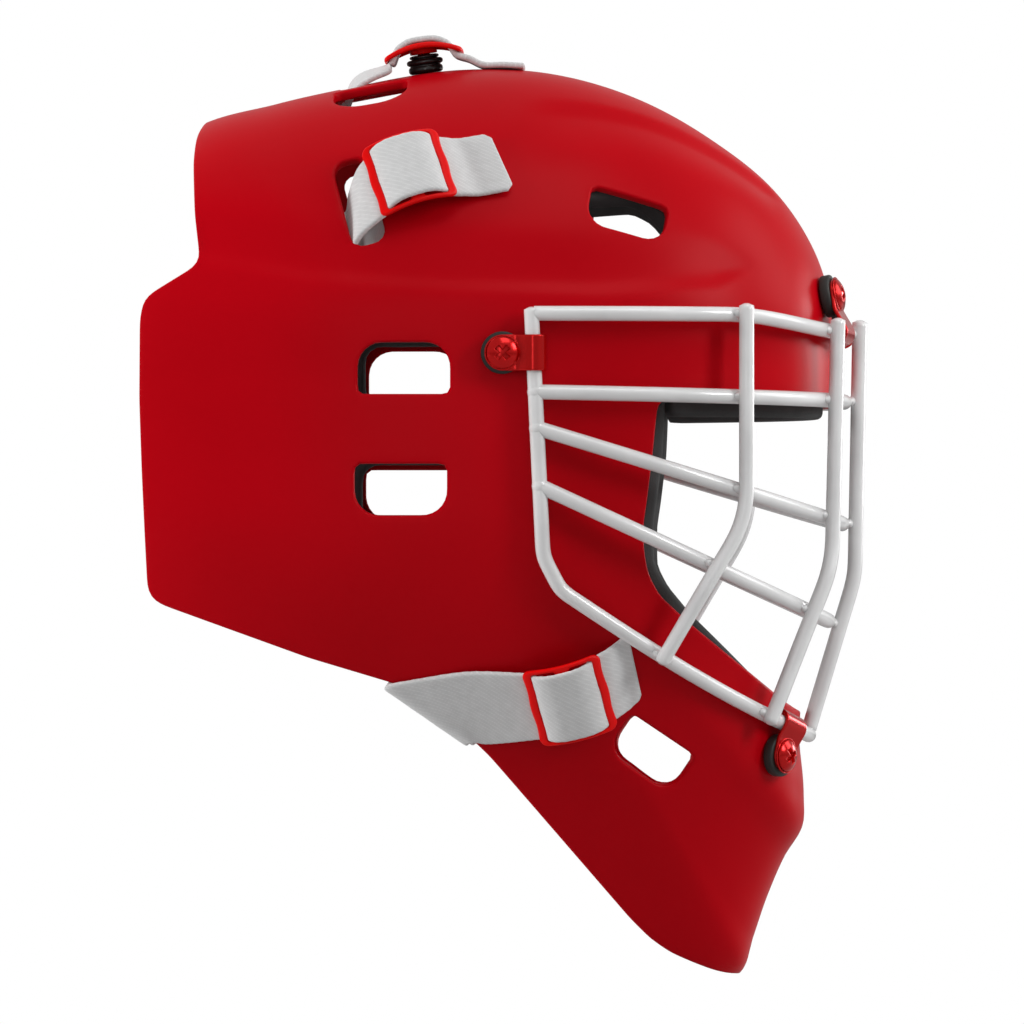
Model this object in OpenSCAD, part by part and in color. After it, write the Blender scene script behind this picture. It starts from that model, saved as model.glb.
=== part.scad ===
// Hockey goalie mask: a moulded shell with a round-wire cage, foam liner and elastic harness.
// X points the way the wearer faces, Y to the wearer's left, Z up.
// The origin is the centre of the head space. Lengths are millimetres.

/* [Shell] */
// Reach of the shell from the head's centre to the forehead
front_reach = 149; // [144:1:156]
// Reach from the head's centre back to the edge of the ear wings
rear_reach = 128; // [122:1:134]
// Height of the crown above the head's centre
crown_height = 154; // [148:1:162]
// Depth of the chin's tip below the head's centre
chin_depth = 211; // [204:1:220]
// Half the shell's greatest width, over the ears
half_width = 108; // [103:1:114]
// Half the width of the chin, near its tip
chin_half_width = 60; // [54:1:66]
// Thickness of the moulded wall
wall = 4; // [3:0.5:5]
// How boxy the shell's sections are: 2 is an ellipse
fullness = 2.35; // [2.2:0.05:2.5]

/* [Vents and slots] */
// Length of the two ear vents, front to back
ear_vent_l = 37; // [30:1:42]
// Height of the two ear vents
ear_vent_h = 20.5; // [16:0.5:24]
// Length of the jaw vent
jaw_vent_l = 31; // [24:1:34]
// Height of the jaw vent
jaw_vent_h = 18; // [14:0.5:20]
// Length of the temple vent
temple_vent_l = 32; // [24:1:36]
// Height of the temple vent
temple_vent_h = 17; // [12:0.5:20]
// Length of each crown vent, front to back
crown_vent_l = 30; // [22:1:34]
// Width of each crown vent
crown_vent_w = 22; // [12:0.5:24]
// Width of the harness slots in the upper sides
slot_w = 14; // [10:0.5:18]
// Length of the harness slots in the upper sides
slot_l = 35; // [32:1:38]

/* [Cage] */
// Diameter of the cage wire
wire_d = 6; // [5:0.5:6.5]
// Clear gap between the shell and the wire on it
wire_gap = 1.5; // [1:0.25:3]
// How far the cage's centre line stands ahead of the forehead
cage_clear = 5.5; // [5:0.5:9]

/* [Clips and screws] */
// Width of a clip
clip_w = 14.4; // [12:0.2:16]
// Thickness of a clip's strip
clip_t = 1.4; // [1:0.1:1.6]
// Diameter of the rubber washer under a clip
washer_d = 17; // [14:0.5:17]
// Thickness of the rubber washer under a clip
washer_t = 4.5; // [4:0.25:5.5]
// Diameter of the screw's head
screw_head_d = 12.5; // [11:0.5:13.5]
// Diameter of the screw's thread
screw_d = 5; // [4:0.5:5.5]

/* [Harness] */
// Width of the elastic straps
strap_w = 28; // [24:1:29]
// Thickness of the elastic straps
strap_t = 2.4; // [2:0.2:2.8]
// Length of a buckle along the strap
buckle_l = 32; // [30:1:36]
// Thickness of a buckle
buckle_t = 3.2; // [2.6:0.2:3.6]
// Width of a buckle's rim
buckle_rim = 4; // [3:0.25:4.5]
// Diameter of a snap stud
stud_d = 14; // [12:0.5:15]
// Height of a snap stud above the shell
stud_h = 10; // [9:0.5:12]

/* [Liner] */
// Thickness of the foam pads
pad_t = 10; // [8:0.5:12]
// Clear space between the wall and a pad
pad_gap = 0.5; // [0.3:0.05:0.8]
// How far the foam shows past the edge of the eye opening
pad_show = 4.5; // [2:0.5:6]

/* [Back plate] */
// Height of the back plate
plate_h = 112; // [96:1:116]
// Half the width of the back plate, round its curve
plate_half_w = 56; // [48:1:60]
// Thickness of the back plate
plate_t = 3; // [2.5:0.25:4]

/* [Hidden] */

red = "#b40012";
bright_red = "#d41010";
white = "#dcdcdc";
grey = "#bdbdbd";
black = "#1c1d1b";
foam = "#363636";
steel = "#8c8f94";

// The side view's points are drawn on a shell of these reaches, and move with the real ones
drawn_front = 149;
drawn_rear = 128;
drawn_crown = 154;
drawn_chin = 211;
function at(x, z) = [
    x * (x > 0 ? front_reach / drawn_front : rear_reach / drawn_rear),
    z * (z > 0 ? crown_height / drawn_crown : chin_depth / drawn_chin)
];
function unit(v) = v / norm(v);
function smooth(u) = let (c = min(1, max(0, u))) c * c * (3 - 2 * c);
function mix(a, b, u) = a + (b - a) * u;

// Side profile of the closed skin that the shell is cut from, anticlockwise from straight ahead
profile = [
    at(149, 5), at(149.4, 44.7), at(146.8, 66.2), at(139.8, 84.7), at(125.2, 105.5),
    at(100, 125.8), at(70, 142.3), at(35, 152.3), at(0, 153.8), at(-40, 147.7),
    at(-75, 140), at(-103, 132.6), at(-138, 110.9), at(-162.6, 73.9), at(-176.6, 1),
    at(-166.4, -80.2), at(-128, -156), at(-55, -207), at(19.4, -221), at(71.5, -227),
    at(98.3, -219.4), at(112.9, -208.3), at(117, -195.6), at(122.5, -179.4), at(129.3, -163.5),
    at(137, -150.2), at(137.4, -137.2), at(135.6, -112), at(138.4, -73.9), at(144, -38)
];

function bearing(p) = (atan2(p.y, p.x) + 360) % 360;
function turned(a, b) = ((b - a) % 360 + 540) % 360 - 180;

// Radius of the profile in a direction: a cubic through the profile's points
knot_angle = [for (p = profile) bearing(p)];
knot_radius = [for (p = profile) norm(p)];
function knot_slope(i) = let (
    n = len(profile),
    before = (i + n - 1) % n,
    after = (i + 1) % n
) (knot_radius[after] - knot_radius[before]) / turned(knot_angle[before], knot_angle[after]);
slopes = [for (i = [0 : len(profile) - 1]) knot_slope(i)];
function span_of(a, i = 0) =
    i >= len(profile) - 1 ? i
    : turned(knot_angle[i], a) >= 0 && turned(a, knot_angle[i + 1]) > 0
        && abs(turned(knot_angle[i], a)) < 60 ? i
    : span_of(a, i + 1);
function radius(a) = let (
    i = span_of(a),
    j = (i + 1) % len(profile),
    step = turned(knot_angle[i], knot_angle[j]),
    u = turned(knot_angle[i], a) / step
) (2 * u ^ 3 - 3 * u ^ 2 + 1) * knot_radius[i] + (u ^ 3 - 2 * u ^ 2 + u) * slopes[i] * step
    + (3 * u ^ 2 - 2 * u ^ 3) * knot_radius[j] + (u ^ 3 - u ^ 2) * slopes[j] * step;

// Half width of the skin's section at a height, before it rounds in to the profile
shoulder_z = 62;
shoulder_fade = 36;
shoulder_step = 3;
jaw_top_z = -20;
jaw_power = 1.15;
function half_width_at(z) = half_width
    - shoulder_step * smooth((shoulder_z - z) / shoulder_fade)
    - (half_width - shoulder_step - chin_half_width)
        * smooth((jaw_top_z - z) / (chin_depth + jaw_top_z)) ^ jaw_power;

// The outer skin on the right side: y at a place in the side view, its outward normal there,
// and the point in direction a at share t of the way from the side (0) to the profile (1)
function skin_y(x, z) = let (s = norm([x, z]) / radius(atan2(z, x)))
    s >= 1 ? 0 : half_width_at(z) * (1 - s ^ fullness) ^ (1 / fullness);
function normal_at(p) = let (
    d = 0.5,
    gx = (skin_y(p.x + d, p.y) - skin_y(p.x - d, p.y)) / (2 * d),
    gz = (skin_y(p.x, p.y + d) - skin_y(p.x, p.y - d)) / (2 * d)
) unit([-gx, -1, -gz]);
function on_skin(p, lift = 0) = [p.x, -skin_y(p.x, p.y), p.y] + lift * normal_at(p);
function skin_at(a, t) = let (
    r = radius(a) * sin(90 * t) ^ (2 / fullness),
    z = r * sin(a)
) [r * cos(a), -half_width_at(z) * cos(90 * t) ^ (2 / fullness), z];
// The place in the side view in direction a where the skin is y from the middle
function place_at(a, y) = let (
    w = half_width_at(radius(a) * sin(a)),
    s = (1 - (y / w) ^ fullness) ^ (1 / fullness)
) radius(a) * s * [cos(a), sin(a)];

// Closed surface through rings of points, each ring anticlockwise about the way along
module ringed(rings, closed = false) {
    n = len(rings[0]);
    m = len(rings);
    sides = [for (k = [0 : m - (closed ? 1 : 2)]) for (i = [0 : n - 1]) let (
        a = k * n,
        b = (k + 1) % m * n,
        j = (i + 1) % n
    ) each [[a + i, b + i, b + j], [a + i, b + j, a + j]]];
    ends = closed ? [] : [[for (i = [0 : n - 1]) i], [for (i = [n - 1 : -1 : 0]) (m - 1) * n + i]];
    polyhedron([for (ring = rings) each ring], concat(sides, ends), convexity = 8);
}

// The whole closed skin, moved inwards by a depth
skin_steps = 60;
skin_rings = 9;
function ring_share(k) = mix(k / skin_rings, sin(90 * k / skin_rings), 0.5);
function skin_normal(a, t) = let (
    across = skin_at(a + 1, t) - skin_at(a - 1, t),
    out = skin_at(a, min(1, t + 0.004)) - skin_at(a, max(0, t - 0.004)),
    n = unit(cross(out, across))
) t < 1 ? n : unit([n.x, 0, n.z]);
// The skin lifted outwards, and its point that shows at a place in the side view
function share_of(s) = asin(min(1, s) ^ (fullness / 2)) / 90;
function lifted(a, t, lift) = skin_at(a, t) + lift * skin_normal(a, t);
function lifted_at(p, lift, a, s, rounds = 12) = let (q = lifted(a, share_of(s), lift)) rounds == 0 ? q
    : lifted_at(p, lift, a + atan2(p.y, p.x) - atan2(q.z, q.x), s * norm(p) / norm([q.x, q.z]), rounds - 1);
function lifted_to(p, lift) = let (a = atan2(p.y, p.x)) lifted_at(p, lift, a, 0.95 * norm(p) / radius(a));
module inset_skin(depth) {
    near = [for (k = [1 : skin_rings]) [for (i = [0 : skin_steps - 1]) let (
        a = i * 360 / skin_steps,
        t = ring_share(k)
    ) skin_at(a, t) - depth * skin_normal(a, t)]];
    far = [for (k = [skin_rings - 2 : -1 : 0]) [for (p = near[k]) [p.x, -p.y, p.z]]];
    pole = half_width_at(0) - depth;
    rings = concat(near, far);
    points = concat([[0, -pole, 0]], [for (ring = rings) each ring], [[0, pole, 0]]);
    last = len(points) - 1;
    top = 1 + (len(rings) - 1) * skin_steps;
    faces = concat(
        [for (i = [0 : skin_steps - 1]) [0, 1 + (i + 1) % skin_steps, 1 + i]],
        [for (k = [0 : len(rings) - 2]) for (i = [0 : skin_steps - 1]) let (
            j = (i + 1) % skin_steps,
            a = 1 + k * skin_steps,
            b = a + skin_steps
        ) each [[a + i, b + j, b + i], [a + i, a + j, b + j]]],
        [for (i = [0 : skin_steps - 1]) [last, top + i, top + (i + 1) % skin_steps]]
    );
    polyhedron(points, faces, convexity = 8);
}

module both_sides() {
    children();
    mirror([0, 1, 0]) children();
}
// Puts children on a point, their Z along n and their X as near as may be to along
module seated(o, n, along) {
    z = unit(n);
    x = unit(along - (along * z) * z);
    y = cross(z, x);
    multmatrix([[x.x, y.x, z.x, o.x], [x.y, y.y, z.y, o.y], [x.z, y.z, z.z, o.z], [0, 0, 0, 1]])
        children();
}
// Extrudes a drawing of the side view through both sides, or through the right side only
far_out = 160;
module through_sides()
    rotate([90, 0, 0]) translate([0, 0, -far_out]) linear_extrude(2 * far_out) children();
module through_right()
    rotate([90, 0, 0]) linear_extrude(far_out) children();

// Edges of the shell in the side view, beyond those that the skin's own profile makes
module trim_outline()
    polygon([
        at(-103.8, 76), at(-106, 94), at(-107.2, 116), at(-106.6, 126), at(-104.4, 131.6),
        at(-100, 137), at(-100, 190), at(200, 190), at(200, -212),
        at(108, -210.4), at(104, -209.6), at(100, -208.4), at(92, -205.2),
        at(84, -201.6), at(76, -196), at(68, -188), at(12, -122.8), at(-6, -105.5),
        at(-24, -94.4), at(-60, -83.6), at(-119, -62.3), at(-122.8, -60), at(-124.8, -56),
        at(-127, -8), at(-128, 20), at(-127.9, 52), at(-126.6, 59), at(-124, 62.2),
        at(-106, 73)
    ]);

// The eye opening in the side view
brow_z = at(0, 18.6).y;
module eye_outline()
    polygon([
        at(79.6, 17), [at(80.6, 0).x, brow_z + 0.6], [at(84, 0).x, brow_z + 1],
        [at(140, 0).x, brow_z - 1], at(200, 16), at(200, -118), at(137, -104.8),
        at(131, -101), at(124.4, -95.6), at(91.6, -68.8), at(80.4, -58.4), at(76, -50),
        at(74.2, -40.4), at(74, -30.4), at(75.6, -19.6), at(77.8, -1.2)
    ]);

// A rectangle with round corners, one radius below and another above
module round_rect(w, h, low_r, high_r) {
    translate([low_r - w / 2, -h / 2]) square([w - 2 * low_r, h / 2]);
    translate([high_r - w / 2, 0]) square([w - 2 * high_r, h / 2]);
    translate([-w / 2, low_r - h / 2]) square([w, h - low_r - high_r]);
    for (i = [-1, 1]) {
        translate([i * (w / 2 - low_r), low_r - h / 2]) circle(low_r, $fn = 32);
        translate([i * (w / 2 - high_r), h / 2 - high_r]) circle(high_r, $fn = 32);
    }
}
// A vent with a flat top and a rounded bottom
vent_corner = 2.6;
module vent_outline(l, h, grow = 0)
    round_rect(l + 2 * grow, h + 2 * grow, 0.48 * h + grow, vent_corner + grow);
module slot_outline(w, l, grow = 0)
    round_rect(w + 2 * grow, l + 2 * grow, 0.36 * w + grow, 0.36 * w + grow);

ear_vent_1 = at(-21.6, 32);
ear_vent_2 = at(-22.8, -16.4);
jaw_vent = at(76.6, -121.6);
temple_vent = at(67.5, 94);
crown_vent = at(-36.5, 0).x;
crown_vent_side = 33.5;
side_slot = at(-39.6, 98.8);
side_slot_lean = 15;
top_slot_x = at(-44, 0).x;
top_slot_w = 9;
jaw_vent_turn = -34;
temple_vent_turn = -9;
cut_depth = 34;

// Height of the skin's top at x, a distance to the side of the middle, and the normal there
function crown_z(x, side = 0, z = 140, rounds = 9) = rounds == 0 ? z
    : crown_z(x, side, sqrt((radius(atan2(z, x))
        * (1 - (side / half_width_at(z)) ^ fullness) ^ (1 / fullness)) ^ 2 - x ^ 2), rounds - 1);
function crown_slope(x) = (crown_z(x + 1) - crown_z(x - 1)) / 2;
function crown_normal(x) = unit([-crown_slope(x), 0, 1]);
function on_crown(x, lift = 0) = [x, 0, crown_z(x)] + lift * crown_normal(x);

module vents(grow = 0) {
    through_sides() {
        translate(ear_vent_1) mirror([0, 1]) vent_outline(ear_vent_l, ear_vent_h, grow);
        translate(ear_vent_2) vent_outline(ear_vent_l, ear_vent_h, grow);
        translate(jaw_vent) rotate(jaw_vent_turn) vent_outline(jaw_vent_l, jaw_vent_h, grow);
        translate(side_slot) rotate(side_slot_lean) slot_outline(slot_w, slot_l, grow);
    }
    both_sides() {
        seated(on_skin(temple_vent), normal_at(temple_vent), [1, 0, 0])
            translate([0, 0, -cut_depth + 12]) linear_extrude(cut_depth) rotate(temple_vent_turn)
                vent_outline(temple_vent_l, temple_vent_h, grow);
        top = [crown_vent, crown_z(crown_vent, crown_vent_side)];
        seated(on_skin(top), normal_at(top), [1, 0, 0])
            translate([0, 0, -cut_depth + 12]) linear_extrude(cut_depth)
                vent_outline(crown_vent_l, crown_vent_w, grow);
    }
    translate([top_slot_x, 0, crown_height - cut_depth]) linear_extrude(2 * cut_depth)
        slot_outline(top_slot_w, strap_w + 4, grow);
}

// Centre and reach of the cage's wires
cage_reach = front_reach + cage_clear;
cage_rear_x = at(30, 0).x;
cage_top_z = at(0, 54.8).y;
cage_low_z = at(0, -50).y;
weld = 0.5;
chin_gap = 0.9;
cage_chin_z = at(0, -114).y;
cage_chin = [at(135.6, 0).x + chin_gap + wire_d / 2, cage_chin_z];
cage_flat_drop = 2;
cage_fullness = 2.25;
function cage_front(z) = z > cage_low_z
    ? cage_reach - cage_flat_drop * (cage_top_z - z) / (cage_top_z - cage_low_z)
    : mix(cage_reach - cage_flat_drop, cage_chin.x - wire_d + weld,
        (cage_low_z - z) / (cage_low_z - cage_chin.y));
function cage_half(z) = skin_y(cage_rear_x, z) + wire_gap + wire_d / 2;
function cage_y(x, z, lift = 0) = let (u = (x - cage_rear_x) / (cage_front(z) + lift - cage_rear_x))
    u >= 1 ? 0 : (cage_half(z) + lift) * (1 - max(0, u) ^ cage_fullness) ^ (1 / cage_fullness);

function tangents(path, closed) = let (n = len(path)) [for (i = [0 : n - 1]) unit(
    closed ? path[(i + 1) % n] - path[(i + n - 1) % n] : path[min(i + 1, n - 1)] - path[max(i - 1, 0)]
)];
// Carries a normal along a path without turning it about the path
function carried(tans, n0) = [
    for (i = 0, n = unit(n0 - (n0 * tans[0]) * tans[0]); i < len(tans);
        i = i + 1, n = i < len(tans) ? unit(n - (n * tans[i]) * tans[i]) : n) n
];
wire_sides = 8;
function rings_of(path, tans, normals, r) = [for (i = [0 : len(path) - 1]) let (
    b = cross(tans[i], normals[i])
) [for (k = [0 : wire_sides - 1]) let (a = (k + 0.5) * 360 / wire_sides)
    path[i] + r * (cos(a) * normals[i] + sin(a) * b)]];
module wire(path, n0) {
    tans = tangents(path, false);
    ringed(rings_of(path, tans, carried(tans, n0), wire_d / 2));
}
// Rounds the corners of a path in the side view
function rounded(path, reach, steps = 4) = [
    path[0],
    for (i = [1 : len(path) - 2]) let (
        p = path[i],
        a = p + reach * unit(path[i - 1] - p),
        b = p + reach * unit(path[i + 1] - p)
    ) each [for (k = [0 : steps]) let (u = k / steps) (1 - u) ^ 2 * a + 2 * u * (1 - u) * p + u ^ 2 * b],
    path[len(path) - 1]
];

// The frame's near half, from the front of its top wire round the side to the front of its bottom
frame_turns = 11;
frame_heel = at(34.4, -52);
frame_brow_drop = 7;
function frame_top_z(x) = cage_top_z - frame_brow_drop * smooth((x - 0.7 * cage_reach) / (0.35 * cage_reach));
function frame_bottom_z(x) = mix(frame_heel.y, cage_chin.y,
    sin(90 * (x - frame_heel.x) / (cage_chin.x - frame_heel.x)) * 0.25
    + 0.75 * (x - frame_heel.x) / (cage_chin.x - frame_heel.x));
top_wire = [for (k = [0 : frame_turns]) let (
    f = 88 * k / frame_turns,
    x = mix(cage_rear_x, cage_front(cage_top_z), cos(f) ^ (2 / cage_fullness)),
    z = frame_top_z(x)
) [x, -cage_half(z) * sin(f) ^ (2 / cage_fullness), z]];
rear_wire_z = [
    cage_top_z - 3, mix(cage_top_z, frame_heel.y, 0.35), mix(cage_top_z, frame_heel.y, 0.7), frame_heel.y + 9
];
rear_wire = [for (z = rear_wire_z) let (x = frame_rear_x(z))
    [x, -skin_y(x, z) - wire_gap - wire_d / 2, z]];
function frame_rear_x(z) =
    mix(cage_rear_x - 0.6, frame_heel.x, (cage_top_z - z) / (cage_top_z - frame_heel.y));
heel_share = 0.17;
function bottom_wire_at(t, a = -45, rounds = 10) = let (
    p = lifted(a, t, wire_d / 2 + mix(wire_gap, chin_gap, t))
) rounds == 0 ? p
    : bottom_wire_at(t, a + atan2(frame_bottom_z(p.x), p.x) - atan2(p.z, p.x), rounds - 1);
bottom_wire = [for (k = [0 : frame_turns]) bottom_wire_at(mix(heel_share, 1, k / frame_turns))];
frame_half = concat(top_wire, rear_wire, bottom_wire);

module cage_frame() {
    n = len(frame_half);
    mirrored = [for (i = [n - 2 : -1 : 1]) let (p = frame_half[i]) [p.x, -p.y, p.z]];
    path = concat(frame_half, mirrored);
    tans = tangents(path, true);
    near = carried([for (i = [0 : n - 1]) tans[i]], [1, 0, 0]);
    normals = concat(near, [for (i = [n - 2 : -1 : 1]) [near[i].x, -near[i].y, near[i].z]]);
    color(white) ringed(rings_of(path, tans, normals, wire_d / 2), closed = true);
}

// A horizontal wire, from the frame's rear wire round the front to the other side
bar_turns = 20;
module cage_bar(rear_z, front_z) {
    path = [for (k = [0 : bar_turns]) let (
        f = mix(-90, 90, k / bar_turns),
        x0 = frame_rear_x(rear_z),
        x = mix(x0, cage_front(front_z), cos(f) ^ (2 / cage_fullness)),
        z = mix(rear_z, front_z, (x - x0) / (cage_front(front_z) - x0))
    ) [x, cage_half(z) * sign(f) * abs(sin(f)) ^ (2 / cage_fullness), z]];
    color(white) wire(path, [0, 0, 1]);
}

// An upright wire, welded outside the horizontal ones
module cage_upright(path, reach) {
    outside = wire_d - weld;
    bends = rounded(path, reach);
    free = [for (i = [0 : len(bends) - 2]) let (p = bends[i]) [p.x, -cage_y(p.x, p.y, outside), p.y]];
    foot = lifted_to(path[len(path) - 1], wire_d / 2 + wire_gap + outside);
    color(white) wire(concat(free, [foot]), [1, 0, 0]);
}
side_bar = [at(114.8, 57), at(114.8, 22), at(114.8, -28), at(98, -56), at(81, -85)];
inner_bar = [at(151.2, 52), at(150.4, 20), at(148.8, -46), at(136, -78), at(124, -109)];
centre_bar_z = [for (z = [52, 20, -20, -44, -48, -53]) at(0, z).y];

module cage_centre_bar() {
    foot = [cage_chin.x, 0, cage_chin.y + wire_d / 2 - weld];
    free = [for (z = centre_bar_z) [cage_front(z) + wire_d - weld, 0, z]];
    color(white) wire(concat(free, [foot]), [1, 0, 0]);
}

// Where the clips' screws sit in the side view, and the point of the wire that each clip holds
function nearest(p, points) = let (away = [for (q = points) norm(q - p)])
    [for (i = [0 : len(points) - 1]) if (away[i] == min(away)) points[i]][0];
side_clip = at(17.6, 38);
side_wire = let (x = frame_rear_x(side_clip.y))
    [x, -skin_y(x, side_clip.y) - wire_gap - wire_d / 2, side_clip.y];
top_clip = place_at(23, 26);
top_wire_held = nearest(on_skin(top_clip), [for (u = [0.85 : 0.005 : 1]) let (x = u * cage_reach)
    [x, -cage_y(x, frame_top_z(x)), frame_top_z(x)]]);
chin_clip = at(125.6, -122);
chin_wire_held = nearest(on_skin(chin_clip), [for (t = [0.6 : 0.01 : 1]) bottom_wire_at(t)]);
clip_sites = [[side_clip, side_wire], [top_clip, top_wire_held], [chin_clip, chin_wire_held]];

// A strip bent from the screw over the wire and round it
hook_gap = 0.8;
hook_from = 118;
hook_to = -22;
hook_steps = 7;
function clip_path(reach, high) = let (
    r = wire_d / 2 + clip_t / 2 + hook_gap,
    deck = washer_t + clip_t / 2
) concat(
    [[-clip_w * 0.45, deck], [screw_head_d * 0.5, deck]],
    [for (i = [0 : hook_steps]) let (a = mix(hook_from, hook_to, i / hook_steps))
        [reach, high] + r * [cos(a), sin(a)]]
);
function offset_side(path, d) = [for (i = [0 : len(path) - 1]) let (
    t = unit(path[min(i + 1, len(path) - 1)] - path[max(i - 1, 0)])
) path[i] + d * [-t.y, t.x]];
module clip(site) {
    p = site[0];
    n = normal_at(p);
    v = site[1] - on_skin(p);
    high = v * n;
    along = v - high * n;
    path = clip_path(norm(along), high);
    under = offset_side(path, -clip_t / 2);
    outline = concat(offset_side(path, clip_t / 2), [for (i = [len(path) - 1 : -1 : 0]) under[i]]);
    color(bright_red) seated(on_skin(p), n, along)
        difference() {
            translate([0, clip_w / 2, 0]) rotate([90, 0, 0]) linear_extrude(clip_w) polygon(outline);
            cylinder(h = 20, d = screw_d + 0.4, $fn = 32);
        }
}
module at_clips()
    both_sides()
        for (site = clip_sites)
            seated(on_skin(site[0]), normal_at(site[0]), site[1] - on_skin(site[0])) children();

thread_gap = 0.1;
nut_t = 4;
nut_d = 11;
flange_t = 1.2;
cross_w = 1.5;
cross_l = 6;
cross_depth = 1.6;
screw_head_h = 3;
module clip_washers()
    color(black) at_clips()
        difference() {
            translate([0, 0, 0.3]) cylinder(h = washer_t - 0.3, d = washer_d, $fn = 48);
            translate([0, 0, -1]) cylinder(h = washer_t + 2, d = screw_d + 0.4, $fn = 32);
        }
module clip_screws()
    color(bright_red) at_clips() {
        deck = washer_t + clip_t;
        difference() {
            union() {
                translate([0, 0, deck]) rotate_extrude($fn = 48)
                    polygon([[0, 0], [screw_head_d / 2, 0], [screw_head_d / 2, 0.8],
                        [screw_head_d * 0.44, 1.8], [screw_head_d * 0.3, 2.6], [0, screw_head_h]]);
                translate([0, 0, -wall - nut_t - 1])
                    cylinder(h = deck + wall + nut_t + 1.5, d = screw_d, $fn = 32);
            }
            for (turn = [0, 90])
                rotate(turn + 45) translate([-cross_l / 2, -cross_w / 2, deck + screw_head_h - cross_depth])
                    cube([cross_l, cross_w, cross_depth + 1]);
        }
    }
nut_gap = 1.3;
module nut()
    translate([0, 0, -wall - nut_t - nut_gap])
        difference() {
            union() {
                cylinder(h = nut_t, d = nut_d - 2, $fn = 6);
                translate([0, 0, nut_t - flange_t]) cylinder(h = flange_t, d = nut_d, $fn = 32);
            }
            translate([0, 0, -1]) cylinder(h = nut_t + 2, d = screw_d + 2 * thread_gap, $fn = 32);
        }
module clip_nuts() color(steel) at_clips() nut();

// Harness: where each buckle sits on its stud, the way its strap runs and where its tail ends
upper_stud = at(-18.8, 106);
upper_tail_end = at(17, 114);
lower_stud = at(44, -97);
lower_tail_end = at(66, -83);
top_stud_x = at(-14.5, 0).x;
top_tail_end = at(25, 0).x;
upper_way = on_skin(upper_stud + [1, 0.3]) - on_skin(upper_stud - [1, 0.3]);
lower_way = on_skin(lower_stud + [1, 0.25]) - on_skin(lower_stud - [1, 0.25]);
upper_frame = [on_skin(upper_stud), normal_at(upper_stud), upper_way];
lower_frame = [on_skin(lower_stud), normal_at(lower_stud), lower_way];
top_frame = [on_crown(top_stud_x), crown_normal(top_stud_x), [1, 0, 0]];
module at_studs() {
    both_sides()
        for (f = [upper_frame, lower_frame]) seated(f[0], f[1], f[2]) children();
    seated(top_frame[0], top_frame[1], top_frame[2]) children();
}
// A point given along, across and above a stud
function by_stud(f, along, high) = let (
    z = unit(f[1]),
    x = unit(f[2] - (f[2] * z) * z)
) f[0] + along * x + high * z;

pin_d = 5;
pin_gap = 0.05;
boss_d = 11;
boss_h = 2;
run_gap = 0.3;
socket_depth = 1.8;
rib = 1.1;
arch_drop = 5;
side_rim = 1.8;
centre_bar = 6;
buckle_w = strap_w + 2 + 2 * side_rim;
barrel_h = stud_h - boss_h - run_gap;
ribs = 4;

module strap_studs()
    color(black) at_studs() {
        rib_pitch = barrel_h / ribs;
        rotate_extrude($fn = 48) polygon(concat(
            [[0, 0.2]],
            [for (k = [0 : ribs - 1]) each [
                [stud_d / 2 - (k == 0 ? 0 : rib), max(0.2, k * rib_pitch)],
                [stud_d / 2, (k + 0.25) * rib_pitch],
                [stud_d / 2, (k + 0.75) * rib_pitch],
                [stud_d / 2 - rib, (k + 1) * rib_pitch]
            ]],
            [[0, barrel_h]]
        ));
        translate([0, 0, barrel_h - 1])
            cylinder(h = stud_h + socket_depth - run_gap - barrel_h + 1, d = pin_d, $fn = 32);
        translate([0, 0, -wall - nut_t - 1]) cylinder(h = wall + nut_t + 2, d = screw_d, $fn = 32);
    }
module stud_nuts() color(steel) at_studs() nut();

// Height of the buckle's middle surface along its arch
function arch(k) = stud_h + buckle_t / 2 - arch_drop * (2 * k / buckle_l) ^ 2;
buckle_steps = 14;
module buckle(f) {
    mid = [for (i = [0 : buckle_steps]) let (k = mix(-0.5, 0.5, i / buckle_steps) * buckle_l) [k, arch(k)]];
    window = (buckle_l - 2 * buckle_rim - centre_bar) / 2;
    color(bright_red) seated(f[0], f[1], f[2])
        difference() {
            union() {
                intersection() {
                    translate([0, buckle_w / 2, 0]) rotate([90, 0, 0]) linear_extrude(buckle_w)
                        polygon(concat(
                            [for (p = mid) p + [0, buckle_t / 2]],
                            [for (i = [buckle_steps : -1 : 0]) mid[i] - [0, buckle_t / 2]]
                        ));
                    linear_extrude(2 * stud_h) hull()
                        for (i = [-1, 1])
                            for (j = [-1, 1])
                                translate([i * (buckle_l / 2 - buckle_rim), j * (buckle_w / 2 - buckle_rim)])
                                    circle(buckle_rim, $fn = 24);
                }
                translate([0, 0, stud_h - boss_h]) cylinder(h = boss_h + 1, d = boss_d, $fn = 48);
            }
            for (i = [-1, 1])
                translate([i * (centre_bar + window) / 2, 0, stud_h])
                    cube([window, buckle_w - 2 * side_rim, 4 * buckle_t], center = true);
            translate([0, 0, stud_h - boss_h - 1])
                cylinder(h = boss_h + 1 + socket_depth, d = pin_d + 2 * pin_gap, $fn = 32);
        }
}

// A flat strap through stations, each a pair of edge points and an outward direction
module strap(stations) {
    ringed([for (s = stations) let (u = unit(s[2]) * strap_t / 2)
        [s[0] + u, s[1] + u, s[1] - u, s[0] - u]]);
}
// Stations square to a centre line with outward directions
function squared(centres, outs) = let (tans = tangents(centres, false)) [
    for (i = [0 : len(centres) - 1]) let (
        h = unit(cross(outs[i], tans[i])) * strap_w / 2
    ) [centres[i] + h, centres[i] - h, cross(tans[i], h)]
];

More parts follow.
